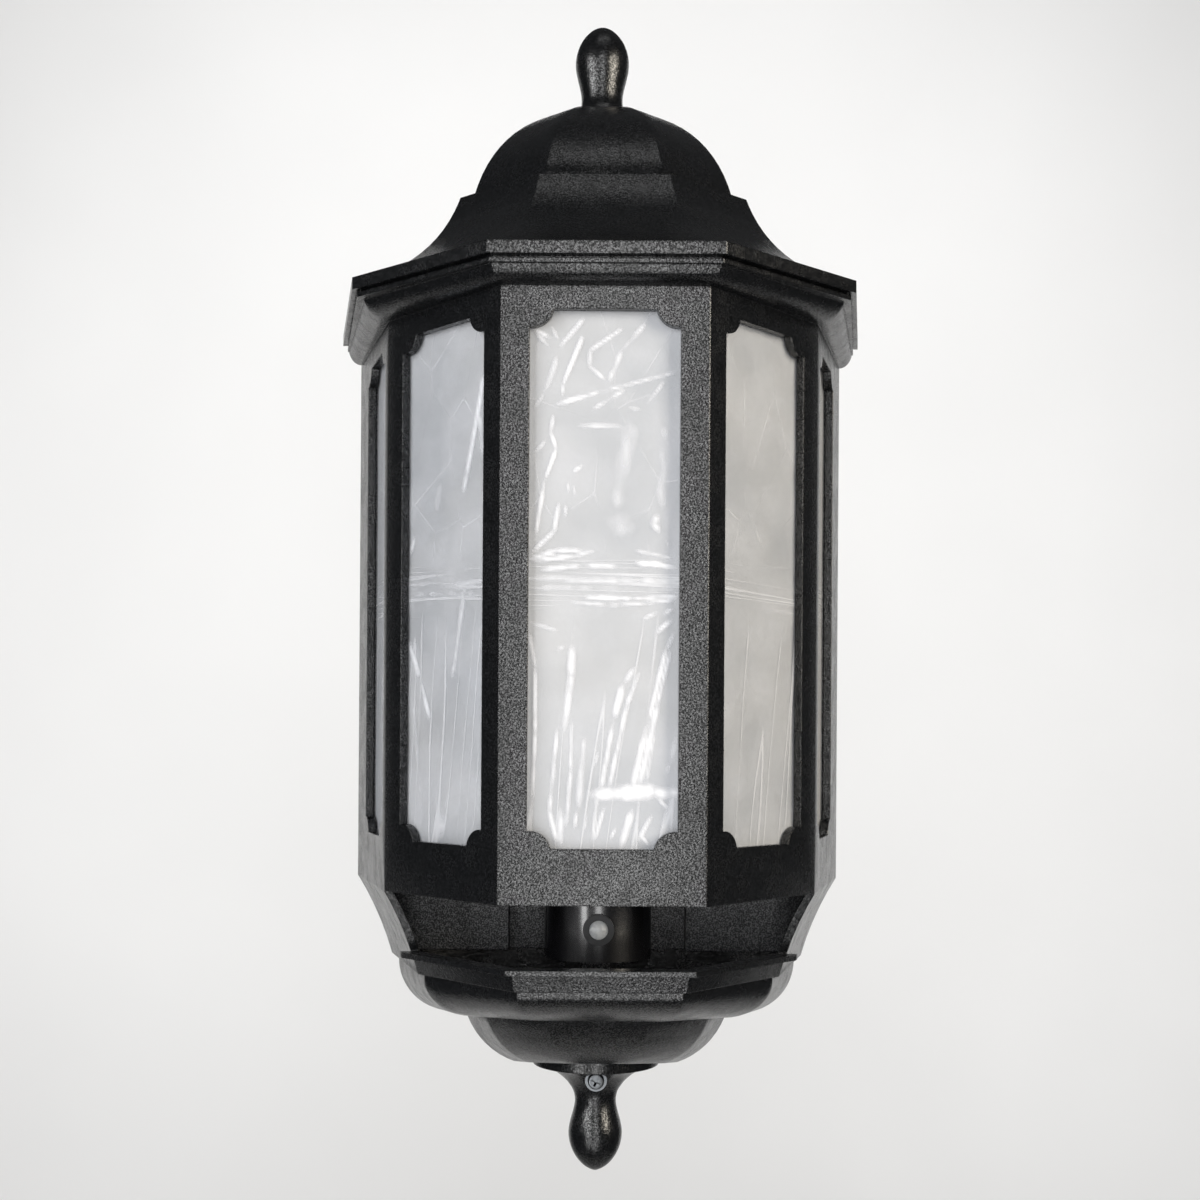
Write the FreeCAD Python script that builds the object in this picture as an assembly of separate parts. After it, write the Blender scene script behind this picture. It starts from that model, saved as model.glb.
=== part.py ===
import FreeCAD, Part
import os

V = FreeCAD.Vector

# Frame: the wall is the plane y = 0, the lantern stands out along -Y, +Z is up.
# The origin is the centre of the wall fixing pattern. Sizes are in millimetres.

# Plan of the lantern body at the wall, at the side corners and at the front
WALL_HALF = 79.9
CORNER_HALF = 64.2
CORNER_DEPTH = 57.0
FRONT_HALF = 28.7
BODY_DEPTH = 97.0
BODY_WALL = 2.5

# How far the eave stands out beyond the body at the same three corners
EAVE_WALL_OUT = 6.1
EAVE_CORNER_OUT = 9.4
EAVE_CORNER_FORWARD = 11.5
EAVE_FRONT_OUT = 3.6
EAVE_FORWARD = 8.3

# Heights of the panels and of the eave mouldings
PANEL_TOP = 84.3
PANEL_BOTTOM = -86.0
COVE_RISE = 4.4
BEAD_TALL = 1.3
BEAD_INSET = 1.5
GROOVE_TALL = 0.7
GROOVE_INSET = 2.6
FASCIA_TALL = 3.5
COVE_HOLLOW = 1.2

# Roof tiers: half width at the wall, height above the tier below, bow of the curve
SKIRT_INSET = 2.2
SKIRT_TOP_HALF = 51.6
SKIRT_TALL = 32.6
SKIRT_BOW = -5.0
DOME_STEP = 4.8
DOME_BAND = 2.0
DOME_TOP_HALF = 9.0
DOME_TALL = 37.2
DOME_BOW = 7.1

# Open gap under the front panels, side arms and the two tiers of the bowl, which rise to the front
RIM_DROP = 19.0
RIM_LIP_OUT = 2.4
RIM_LIP_TALL = 1.6
ARM_FRONT_BACK = 2.0
ARM_HALF = 68.3
ARM_TALL = 26.0
ARM_BOW = -1.0
BOWL_STEP = 2.4
BOWL_LOW_HALF = 49.0
BOWL_TALL = 19.2
BOWL_BOW = 5.6
BOWL_TILT = 0.12
CUP_STEP = 5.5
CUP_LOW_HALF = 27.3
CUP_TALL = 16.8
CUP_BOW = 2.8
CUP_TILT = 0.18
BOWL_WALL = 2.5

# Half acorn finials: base, neck and bulb of the turned form
FINIAL_NECK_R = 6.9
FINIAL_BULB_R = 8.9
FINIAL_BULB_SHARE = 0.44
FINIAL_CROWN_R = 6.2
FINIAL_CROWN_SHARE = 0.82
TOP_BASE_LIP = 0.6
TOP_NECK_UP = 8.4
TOP_ACORN = 23.2
LOW_BASE_STEP = 6.3
LOW_FLARE_R = 12.6
LOW_FLARE_DROP = 3.4
LOW_NECK_DROP = 11.5
LOW_ACORN = 24.8
FINIAL_SINK = 1.5

# Windows with scalloped corners, one to each panel
WINDOW_TOP_RAIL = 6.4
WINDOW_BOTTOM_RAIL = 15.6
FRONT_STILE = 7.9
DIAGONAL_STILE = 7.5
SIDE_STILE = 5.8
SIDE_BACK_STILE = 17.5
WINDOW_CUT = 9.0
SCALLOP_WIDE = 6.6
SCALLOP_HIGH = 4.8

# Opal diffuser, its film and its seal
DIFFUSER_GAP = 0.8
DIFFUSER_WALL = 1.8
DIFFUSER_END_GAP = 1.5
FILM_GAP = 0.25
FILM_THICK = 0.3
FILM_END_MARGIN = 1.5
FILM_BACK_MARGIN = 0.5
GASKET_THICK = 2.0
GASKET_WIDE = 6.0

# Back plate: a tray that is open towards the wall
PLATE_CLEAR = 0.4
PLATE_DEPTH = 14.0
PLATE_SKIN = 2.5
PLATE_BOTTOM = -109.0
POCKET_HALF = 28.8
POCKET_DEPTH = 5.0
FIXING_SPACING_X = 90.0
FIXING_SPACING_Z = 120.0
FIXING_HOLE_R = 2.5
FIXING_PILLAR_R = 5.5
HOOK_SPREAD = 26.0
HOOK_WIDE = 12.0
HOOK_SEAT_RISE = 20.0
HOOK_TALL = 8.0
HOOK_THICK = 3.0
HANG_RIB_TALL = 6.0
HANG_RIB_THICK = 5.7
FOOT_RIB_TALL = 10.0
FOOT_RIB_THICK = 3.0
HANG_CLEAR = 0.3
TONGUE_THICK = 3.0

# Retaining screw at the foot of the bowl
SCREW_DROP = 4.2
SCREW_R = 1.75
SCREW_HEAD_R = 2.7
SCREW_HEAD_TALL = 2.0
SCREW_HEAD_ROUND = 1.2
SCREW_LENGTH = 9.0
SCREW_SEAT = 3.5
SCREW_CLEAR = 0.25
WASHER_R = 3.6
WASHER_THICK = 0.8
INSERT_R = 2.5
INSERT_LENGTH = 5.0
BOSS_R = 4.2
BOSS_TALL = 6.0

# Cable inlet and the grommet for the inner leads
INLET_X = 42.0
INLET_Z = 25.0
INLET_HOLE_R = 6.0
INLET_BORE_R = 3.75
LEAD_HOLE_R = 4.5
LEAD_BORE_R = 3.0
LEAD_GROMMET_Z = -71.0
GROMMET_FLANGE = 2.0
GROMMET_LIP = 1.8

# Lampholder on its bracket, and the lamp
LAMP_Y = -46.0
SHELF_Z = -64.0
BRACKET_THICK = 1.5
BRACKET_HALF = 15.0
BRACKET_TALL = 26.0
BRACKET_REACH = 16.0
BRACKET_SCREW_X = 9.0
BRACKET_SCREW_UP = 18.0
SCREW_BOSS_R = 3.4
SCREW_BOSS_TALL = 5.0
BRACKET_SCREW_R = 1.6
BRACKET_SCREW_HEAD_R = 3.0
BRACKET_SCREW_HEAD = 1.8
NIPPLE_R = 5.0
NIPPLE_BORE_R = 3.4
NIPPLE_LONG = 5.0
NIPPLE_CLEAR = 0.2
NUT_R = 8.0
NUT_THICK = 4.0
HOLDER_BASE_R = 13.0
HOLDER_R = 17.5
HOLDER_BASE_TALL = 8.0
HOLDER_FLOOR = 2.2
RING_R = 21.0
RING_TALL = 6.0
RING_CLEAR = 0.15
SHELL_THICK = 0.6
SHELL_TALL = 22.0
CONTACT_THICK = 0.8
CONTACT_WIDE = 6.0
CONTACT_LONG = 9.0
CONTACT_SPLIT = 0.4
LAMP_CAP_R = 13.0
LAMP_CAP_TALL = 24.0
LAMP_NECK_R = 14.5
LAMP_BULB_R = 28.0
LAMP_TALL = 104.0
LAMP_CLEAR = 0.3
LAMP_TIP_R = 4.5
LAMP_TIP_TALL = 2.2
LAMP_NECK_TALL = 6.0

# Terminal block with brass tunnels and clamp screws
BLOCK_X = -42.0
BLOCK_Z = 25.0
BLOCK_HALF_WIDE = 9.0
BLOCK_DEPTH = 14.0
POLE_PITCH = 10.5
POLE_COUNT = 3
TUNNEL_R = 3.0
TUNNEL_BORE_R = 1.7
TUNNEL_HALF = 7.0
TUNNEL_OUT = 8.0
CLAMP_X = 4.0
CLAMP_R = 1.6
CLAMP_CLEAR = 0.1
CLAMP_SINK = 1.5
BLOCK_SCREW_R = 1.4

# Daylight sensor in the pocket under the front panel
SENSOR_R = 17.0
SENSOR_WALL = 2.0
SENSOR_TOP = -87.0
SENSOR_BACK_GAP = 0.3
SENSOR_CAP = 1.6
EYE_DROP = 11.8
EYE_RING_R = 4.8
EYE_RING_BORE_R = 2.9
EYE_RING_PROUD = 1.4
EYE_SPIGOT_R = 3.6
EYE_CLEAR = 0.1
LENS_CROWN_R = 4.0
LENS_PROUD = 1.0
LENS_DEEP = 1.4
SPIGOT_R = 4.0
SPIGOT_BORE_R = 3.0
SPIGOT_BEHIND = 2.6
SENSOR_NUT_R = 6.5
SENSOR_NUT_THICK = 2.0
BOARD_HALF = 9.0
BOARD_TALL = 15.0
BOARD_THICK = 1.6
CELL_R = 2.5
CELL_SETBACK = 1.2
CELL_LONG = 3.2
RELAY_WIDE = 12.0
RELAY_DEEP = 7.0
RELAY_TALL = 5.5
RELAY_LIFT = 0.4

# Inner leads
LEAD_R = 1.0
LEAD_BEND_R = 3.0
LEAD_SPREAD = 1.5
LEAD_BEHIND_Y = -2.4
LIVE_X = -21.0
NEUTRAL_X = -26.0
NEUTRAL_DROP = 4.0
LEAD_INTO_TUNNEL = 5.0

# Room beyond the wall plane that is trimmed off again, and steps along a curve
BACK_SPARE = 6.0
CURVE_STEPS = 7
FAR = 300.0

BODY = [V(WALL_HALF, 0, 0), V(CORNER_HALF, -CORNER_DEPTH, 0), V(FRONT_HALF, -BODY_DEPTH, 0)]
EAVE = [
    BODY[0] + V(EAVE_WALL_OUT, 0, 0),
    BODY[1] + V(EAVE_CORNER_OUT, -EAVE_CORNER_FORWARD, 0),
    BODY[2] + V(EAVE_FRONT_OUT, -EAVE_FORWARD, 0),
]

# Steps from tier to tier and heights that follow from the sizes above
DOME_HALF = SKIRT_TOP_HALF - DOME_STEP
BOWL_HALF = ARM_HALF - BOWL_STEP
CUP_HALF = BOWL_LOW_HALF - CUP_STEP
TOP_BASE_R = DOME_TOP_HALF + TOP_BASE_LIP
LOW_BASE_R = CUP_LOW_HALF - LOW_BASE_STEP
LOW_SINK = LOW_BASE_R * CUP_TILT + FINIAL_SINK
EYE_Z = SENSOR_TOP - EYE_DROP
BEAD_Z = PANEL_TOP + COVE_RISE
GROOVE_Z = BEAD_Z + BEAD_TALL
FASCIA_Z = GROOVE_Z + GROOVE_TALL
EAVE_Z = FASCIA_Z + FASCIA_TALL
SKIRT_TOP = EAVE_Z + SKIRT_TALL
DOME_Z = SKIRT_TOP + DOME_BAND
DOME_TOP = DOME_Z + DOME_TALL
SCREW_SEAT_Y = -BOSS_TALL - SCREW_SEAT
RIM_Z = PANEL_BOTTOM - RIM_DROP
ARM_BOTTOM = PANEL_BOTTOM - ARM_TALL
BOWL_BOTTOM = ARM_BOTTOM - BOWL_TALL
CUP_BOTTOM = BOWL_BOTTOM - CUP_TALL
SCREW_Z = CUP_BOTTOM - SCREW_DROP
WINDOW_TOP = PANEL_TOP - WINDOW_TOP_RAIL
WINDOW_BOTTOM = PANEL_BOTTOM + WINDOW_BOTTOM_RAIL
PLATE_TOP = PANEL_TOP - HANG_CLEAR
SKIN_FRONT = -PLATE_DEPTH
SKIN_BACK = SKIN_FRONT + PLATE_SKIN
POCKET_FACE = SKIN_FRONT + POCKET_DEPTH
POCKET_BACK = POCKET_FACE + PLATE_SKIN
POCKET_TOP = SENSOR_TOP + SENSOR_CAP + HANG_CLEAR
HOOK_SEAT = PLATE_TOP + HOOK_SEAT_RISE
DIFFUSER_INSET = BODY_WALL + DIFFUSER_GAP
DIFFUSER_TOP = PANEL_TOP - DIFFUSER_END_GAP
DIFFUSER_BOTTOM = PANEL_BOTTOM + DIFFUSER_END_GAP
DIFFUSER_BACK = SKIN_FRONT - GASKET_THICK
SHELF_TOP = SHELF_Z + BRACKET_THICK
HOLDER_FLOOR_Z = SHELF_TOP + HOLDER_BASE_TALL + HOLDER_FLOOR
SHELL_R = LAMP_CAP_R + LAMP_CLEAR + SHELL_THICK
LAMP_BASE = HOLDER_FLOOR_Z + CONTACT_THICK
LAMP_CAP_LOW = LAMP_BASE + LAMP_TIP_TALL
LAMP_CAP_TOP = LAMP_CAP_LOW + LAMP_CAP_TALL
HOLDER_TOP = LAMP_CAP_TOP - LAMP_CLEAR
TUNNEL_Y = SKIN_FRONT - TUNNEL_OUT
BLOCK_FRONT = SKIN_FRONT - BLOCK_DEPTH
SENSOR_BOTTOM = PLATE_BOTTOM
SENSOR_FLOOR = SENSOR_BOTTOM + SENSOR_WALL
SENSOR_Y = POCKET_FACE - SENSOR_BACK_GAP - SENSOR_R
SENSOR_FRONT = SENSOR_Y - SENSOR_R
CELL_BACK = SENSOR_FRONT + SENSOR_WALL + CELL_SETBACK + CELL_LONG
BOARD_BACK = CELL_BACK + BOARD_THICK


def block(x0, x1, y0, y1, z0, z1):
    """Box between two opposite corners."""
    return Part.makeBox(x1 - x0, y1 - y0, z1 - z0, V(x0, y0, z0))


def rod(radius, start, end):
    """Round bar from one point to another."""
    return Part.makeCylinder(radius, (end - start).Length, start, end - start)


def turned(points, axis_y):
    """Solid turned about a vertical axis from corner points of radius and height."""
    outline = [V(r, axis_y, z) for r, z in points]
    face = Part.Face(Part.makePolygon(outline + outline[:1]))
    return face.revolve(V(0, axis_y, 0), V(0, 0, 1), 360)


def hexagon(radius, base, along):
    """Six-sided nut standing on a base point, as tall as a vector."""
    turn = FreeCAD.Rotation(V(0, 0, 1), along)
    spokes = [FreeCAD.Rotation(V(0, 0, 1), 60 * i).multVec(V(radius, 0, 0)) for i in range(6)]
    corners = [base + turn.multVec(spoke) for spoke in spokes]
    return Part.Face(Part.makePolygon(corners + corners[:1])).extrude(along)


def facet(start, end, scale, inset):
    """Outward normal and distance from the axis of the facet between two plan corners."""
    along = (end - start).normalize()
    normal = V(-along.y, along.x, 0)
    return normal, normal.dot(start) * scale - inset


def meet(first, second):
    """Plan point where two facet lines cross."""
    (a, p), (b, q) = first, second
    cross = a.x * b.y - a.y * b.x
    return V((p * b.y - a.y * q) / cross, (a.x * q - p * b.x) / cross, 0)


def plan_corners(plan, scale=1.0, inset=0.0, back=BACK_SPARE):
    """Six corners of the plan, from the right of the wall round the front to the left."""
    wall, corner, front = plan
    side = facet(wall, corner, scale, inset)
    diagonal = facet(corner, front, scale, inset)
    face = (V(0, -1, 0), -front.y * scale - inset)
    right = [meet((V(0, 1, 0), back), side), meet(side, diagonal), meet(diagonal, face)]
    return right + [V(-p.x, p.y, 0) for p in reversed(right)]


def section(plan, z, scale=1.0, inset=0.0, tilt=0.0):
    """Closed outline of the plan at one height at the wall, rising to the front by a tilt."""
    points = [V(p.x, p.y, z - p.y * tilt) for p in plan_corners(plan, scale, inset)]
    return Part.makePolygon(points + points[:1])


def tier(plan, stations, inset=0.0, lift=0.0, tilts=(0.0, 0.0)):
    """Solid through the plan at stations of half width at the wall and height, tilted at its two ends."""
    bottom, top = stations[0][1], stations[-1][1]
    wires = []
    for half, z in stations:
        tilt = tilts[0] + (tilts[1] - tilts[0]) * (z - bottom) / (top - bottom)
        wires.append(section(plan, z + lift, half / plan[0].x, inset, tilt))
    return Part.makeLoft(wires, True, len(wires) == 2)


def straight(plan, z0, z1, inset=0.0):
    """Upright prism of the plan between two heights."""
    return tier(plan, [(plan[0].x, z0), (plan[0].x, z1)], inset)


def bowed(low, high, bow):
    """Stations along an arc from a low point to a high one, bowed outwards if positive."""
    a, b = V(*low, 0), V(*high, 0)
    chord = b - a
    via = (a + b) * 0.5 + V(chord.y, -chord.x, 0).normalize() * bow
    return [(p.x, p.y) for p in Part.Arc(a, via, b).toShape().discretize(CURVE_STEPS)]


SKIRT = bowed((EAVE[0].x - SKIRT_INSET, EAVE_Z), (SKIRT_TOP_HALF, SKIRT_TOP), SKIRT_BOW)
DOME = bowed((DOME_HALF, DOME_Z), (DOME_TOP_HALF, DOME_TOP), DOME_BOW)
ARMS = bowed((ARM_HALF, ARM_BOTTOM), (WALL_HALF, PANEL_BOTTOM), ARM_BOW)
BOWL = bowed((BOWL_LOW_HALF, BOWL_BOTTOM), (BOWL_HALF, ARM_BOTTOM), BOWL_BOW)
CUP = bowed((CUP_LOW_HALF, CUP_BOTTOM), (CUP_HALF, BOWL_BOTTOM), CUP_BOW)


def cove():
    """Hollow moulding that leads from the panels out to the eave."""
    reach = EAVE_FORWARD - GROOVE_INSET
    wires = []
    for out, z in bowed((0, PANEL_TOP), (reach, BEAD_Z), COVE_HOLLOW):
        share = out / EAVE_FORWARD
        plan = [b + (e - b) * share for b, e in zip(BODY, EAVE)]
        wires.append(section(plan, z))
    return Part.makeLoft(wires, True, False)


def finial(stations, base_z):
    """Half acorn turned about the wall axis, sunk into its tier down to a base height."""
    curve = Part.BSplineCurve()
    curve.interpolate([V(r, 0, z) for r, z in stations])
    outer = V(stations[0][0], 0, stations[0][1])
    rim = V(stations[0][0], 0, base_z)
    base = V(0, 0, base_z)
    tip = V(0, 0, stations[-1][1])
    lines = [Part.makeLine(tip, base), Part.makeLine(base, rim), Part.makeLine(rim, outer)]
    return Part.Face(Part.Wire([curve.toShape()] + lines)).revolve(V(0, 0, 0), V(0, 0, 1), -180)


def acorn(base, neck_z, tall):
    """Stations of a finial from its base past the neck and the bulb to the tip, up or down."""
    bulb = (FINIAL_BULB_R, neck_z + tall * FINIAL_BULB_SHARE)
    crown = (FINIAL_CROWN_R, neck_z + tall * FINIAL_CROWN_SHARE)
    return base + [(FINIAL_NECK_R, neck_z), bulb, crown, (0, neck_z + tall)]


def window_tools():
    """One cutter to each panel: a tall light with scalloped corners."""
    corners = plan_corners(BODY, back=0.0)
    stiles = [
        (SIDE_BACK_STILE, SIDE_STILE), (DIAGONAL_STILE, DIAGONAL_STILE), (FRONT_STILE, FRONT_STILE),
        (DIAGONAL_STILE, DIAGONAL_STILE), (SIDE_STILE, SIDE_BACK_STILE),
    ]
    return [window_tool(a, b, *pair) for a, b, pair in zip(corners, corners[1:], stiles)]


def window_tool(start, end, first_stile, last_stile):
    """Cutter through the panel between two plan corners, with a stile at each end."""
    across = (end - start).normalize()
    normal = V(-across.y, across.x, 0)
    half = ((end - start).Length - first_stile - last_stile) / 2
    middle = start + across * (first_stile + half)
    level = (WINDOW_TOP + WINDOW_BOTTOM) / 2
    rise = (WINDOW_TOP - WINDOW_BOTTOM) / 2

    def place(u, w):
        return middle + across * u + V(0, 0, level + w) + normal * BODY_WALL

    edges = []
    bite = 0.5 ** 0.5
    quarters = [(1, 1), (-1, 1), (-1, -1), (1, -1)]
    for index, (su, sw) in enumerate(quarters):
        beside = place(su * half, sw * (rise - SCALLOP_HIGH))
        above = place(su * (half - SCALLOP_WIDE), sw * rise)
        via = place(su * (half - SCALLOP_WIDE * bite), sw * (rise - SCALLOP_HIGH * bite))
        first, last = (beside, above) if index % 2 == 0 else (above, beside)
        if edges:
            edges.append(Part.makeLine(edges[-1].lastVertex().Point, first))
        edges.append(Part.Arc(first, via, last).toShape())
    edges.append(Part.makeLine(edges[-1].lastVertex().Point, edges[0].firstVertex().Point))
    return Part.Face(Part.Wire(edges)).extrude(normal * -WINDOW_CUT)


def arm_front(z):
    """Front edge of the side arms at one height, just behind the side corner."""
    share = (PANEL_BOTTOM - z) / ARM_TALL
    half = WALL_HALF + (ARM_HALF - WALL_HALF) * share
    return -CORNER_DEPTH * half / WALL_HALF + ARM_FRONT_BACK


def gap_tool():
    """Cutter for the open gap between the front panels and the rim of the bowl."""
    outline = [
        V(-FAR, arm_front(PANEL_BOTTOM), PANEL_BOTTOM),
        V(-FAR, -FAR, PANEL_BOTTOM),
        V(-FAR, -FAR, RIM_Z),
        V(-FAR, arm_front(RIM_Z), RIM_Z),
    ]
    return Part.Face(Part.makePolygon(outline + outline[:1])).extrude(V(2 * FAR, 0, 0))


def rim_lip():
    """Thin lip round the three front sides of the bowl's rim."""
    half = -(arm_front(RIM_Z) - ARM_FRONT_BACK) / CORNER_DEPTH * WALL_HALF
    lip = tier(BODY, [(half, RIM_Z - RIM_LIP_TALL), (half, RIM_Z)], -RIM_LIP_OUT)
    return lip.common(block(-FAR, FAR, -FAR, arm_front(RIM_Z), -FAR, FAR))


def body_outside():
    """Outer form of the lantern: roof, eave, panels, arms and bowl."""
    pieces = [
        tier(EAVE, DOME),
        tier(EAVE, [(DOME_HALF, SKIRT_TOP), (DOME_HALF, DOME_Z)]),
        tier(EAVE, SKIRT),
        straight(EAVE, FASCIA_Z, EAVE_Z),
        straight(EAVE, GROOVE_Z, FASCIA_Z, GROOVE_INSET),
        straight(EAVE, BEAD_Z, GROOVE_Z, BEAD_INSET),
        cove(),
        straight(BODY, PANEL_BOTTOM, PANEL_TOP),
        tier(BODY, ARMS),
        tier(BODY, BOWL, tilts=(BOWL_TILT, 0.0)),
        tier(BODY, CUP, tilts=(CUP_TILT, BOWL_TILT)),
        rim_lip(),
    ]
    return pieces[0].multiFuse(pieces[1:])


def body_hollow():
    """Inner form of the lantern, one wall inside the outer one."""
    eave_inset = BODY_WALL + GROOVE_INSET
    under_eave = [
        section(BODY, PANEL_TOP, 1.0, BODY_WALL),
        section(EAVE, FASCIA_Z, 1.0, eave_inset),
    ]
    pieces = [
        tier(EAVE, DOME, BOWL_WALL, -BOWL_WALL),
        tier(EAVE, [(DOME_HALF, SKIRT_TOP - BOWL_WALL), (DOME_HALF, DOME_Z - BOWL_WALL)], BOWL_WALL),
        tier(EAVE, SKIRT, BOWL_WALL, -BOWL_WALL),
        straight(EAVE, FASCIA_Z, EAVE_Z - BOWL_WALL, eave_inset),
        Part.makeLoft(under_eave, True, True),
        straight(BODY, PANEL_BOTTOM, PANEL_TOP, BODY_WALL),
        tier(BODY, ARMS, BODY_WALL),
        tier(BODY, BOWL, BOWL_WALL, BOWL_WALL, (BOWL_TILT, 0.0)),
        tier(BODY, CUP, BOWL_WALL, BOWL_WALL, (CUP_TILT, BOWL_TILT)),
    ]
    return pieces[0].multiFuse(pieces[1:])


def make_lantern_body():
    """One moulding: hollow roof, windowed panels, arms and bowl, with half finials."""
    hollow = body_hollow().cut(hang_rib()).cut(foot_rib())
    shell = body_outside().cut(hollow)
    for tool in window_tools():
        shell = shell.cut(tool)
    shell = shell.cut(gap_tool())
    top = acorn([(TOP_BASE_R, DOME_TOP)], DOME_TOP + TOP_NECK_UP, TOP_ACORN)
    flare = [(LOW_BASE_R, CUP_BOTTOM), (LOW_FLARE_R, CUP_BOTTOM - LOW_FLARE_DROP)]
    low = acorn(flare, CUP_BOTTOM - LOW_NECK_DROP, -LOW_ACORN)
    tips = [finial(top, DOME_TOP - FINIAL_SINK), finial(low, CUP_BOTTOM + LOW_SINK)]
    shell = shell.multiFuse(tips)
    shell = shell.cut(block(-FAR, FAR, 0, FAR, -FAR, FAR))
    return shell.cut(screw_passage())


def hang_rib():
    """Bar across the open back of the roof that hangs on the hooks of the back plate."""
    return block(-FAR, FAR, -HANG_RIB_THICK, FAR, HOOK_SEAT, HOOK_SEAT + HANG_RIB_TALL)


def foot_rib():
    """Bar across the open back of the bowl under the back plate, in two halves beside the tongue."""
    top = PLATE_BOTTOM - PLATE_CLEAR
    side = BOSS_R + PLATE_CLEAR
    bar = block(-FAR, FAR, -FOOT_RIB_THICK, FAR, top - FOOT_RIB_TALL, top)
    return bar.cut(block(-side, side, -FAR, FAR, -FAR, FAR))


def along_y(radius, x, z, front, back):
    """Round bar along Y from its front end to its back end."""
    return rod(radius, V(x, front, z), V(x, back, z))


def screw_passage():
    """Room for the tongue of the back plate, and the way and seat of the retaining screw."""
    side = BOSS_R + PLATE_CLEAR
    top = CUP_BOTTOM + BOWL_WALL + LOW_SINK
    room = block(-side, side, -TONGUE_THICK - PLATE_CLEAR, FAR, SCREW_Z, top)
    boss = along_y(side, 0, SCREW_Z, -BOSS_TALL - PLATE_CLEAR, FAR)
    way = along_y(SCREW_R + SCREW_CLEAR, 0, SCREW_Z, -LOW_BASE_R, 0)
    seat = along_y(WASHER_R + SCREW_CLEAR, 0, SCREW_Z, -LOW_BASE_R, SCREW_SEAT_Y)
    return room.multiFuse([boss, way, seat])


def make_retaining_screw():
    """Pan head screw through the foot of the bowl into the insert."""
    under_head = SCREW_SEAT_Y - WASHER_THICK
    head = along_y(SCREW_HEAD_R, 0, SCREW_Z, under_head - SCREW_HEAD_TALL, under_head)
    shank = along_y(SCREW_R, 0, SCREW_Z, under_head, under_head + SCREW_LENGTH)
    rim = [edge for edge in head.Edges if edge.BoundBox.YMax < under_head - SCREW_HEAD_ROUND]
    return head.makeFillet(SCREW_HEAD_ROUND, rim).fuse(shank)


def make_screw_washer():
    """Flat washer under the head of the retaining screw."""
    disc = along_y(WASHER_R, 0, SCREW_Z, SCREW_SEAT_Y - WASHER_THICK, SCREW_SEAT_Y)
    return disc.cut(along_y(SCREW_R, 0, SCREW_Z, -FAR, FAR))


def make_threaded_insert():
    """Brass insert moulded into the tongue of the back plate."""
    tube = along_y(INSERT_R, 0, SCREW_Z, -BOSS_TALL, -BOSS_TALL + INSERT_LENGTH)
    return tube.cut(along_y(SCREW_R, 0, SCREW_Z, -FAR, FAR))


def tray_form(inset, front, low, high):
    """Block that follows the inside of the body walls, from a front plane back past the wall."""
    inset += BODY_WALL + PLATE_CLEAR
    form = straight(BODY, PANEL_BOTTOM, PANEL_TOP, inset).fuse(tier(BODY, ARMS, inset))
    return form.common(block(-FAR, FAR, front, FAR, low, high))


def at_fixings():
    """Centres of the four wall fixings."""
    return [(x * FIXING_SPACING_X / 2, z * FIXING_SPACING_Z / 2) for x in (-1, 1) for z in (-1, 1)]


def at_bracket_screws():
    """Centres of the two screws of the lampholder bracket."""
    return [(x * BRACKET_SCREW_X, SHELF_Z + BRACKET_SCREW_UP) for x in (-1, 1)]


def at_block_screws():
    """Centres of the two screws between the poles of the terminal block."""
    return [(BLOCK_X, BLOCK_Z + z * POLE_PITCH / 2) for z in (-1, 1)]


def hook(side):
    """Hook at the top of the back plate that carries the hanging rib of the body."""
    x0 = side * HOOK_SPREAD - HOOK_WIDE / 2
    x1 = x0 + HOOK_WIDE
    back = -HANG_RIB_THICK - HANG_CLEAR
    front = back - HOOK_THICK
    seat = block(x0, x1, front, FAR, PLATE_TOP - PLATE_SKIN, HOOK_SEAT)
    return seat.fuse(block(x0, x1, front, back, HOOK_SEAT, HOOK_SEAT + HOOK_TALL))


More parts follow.
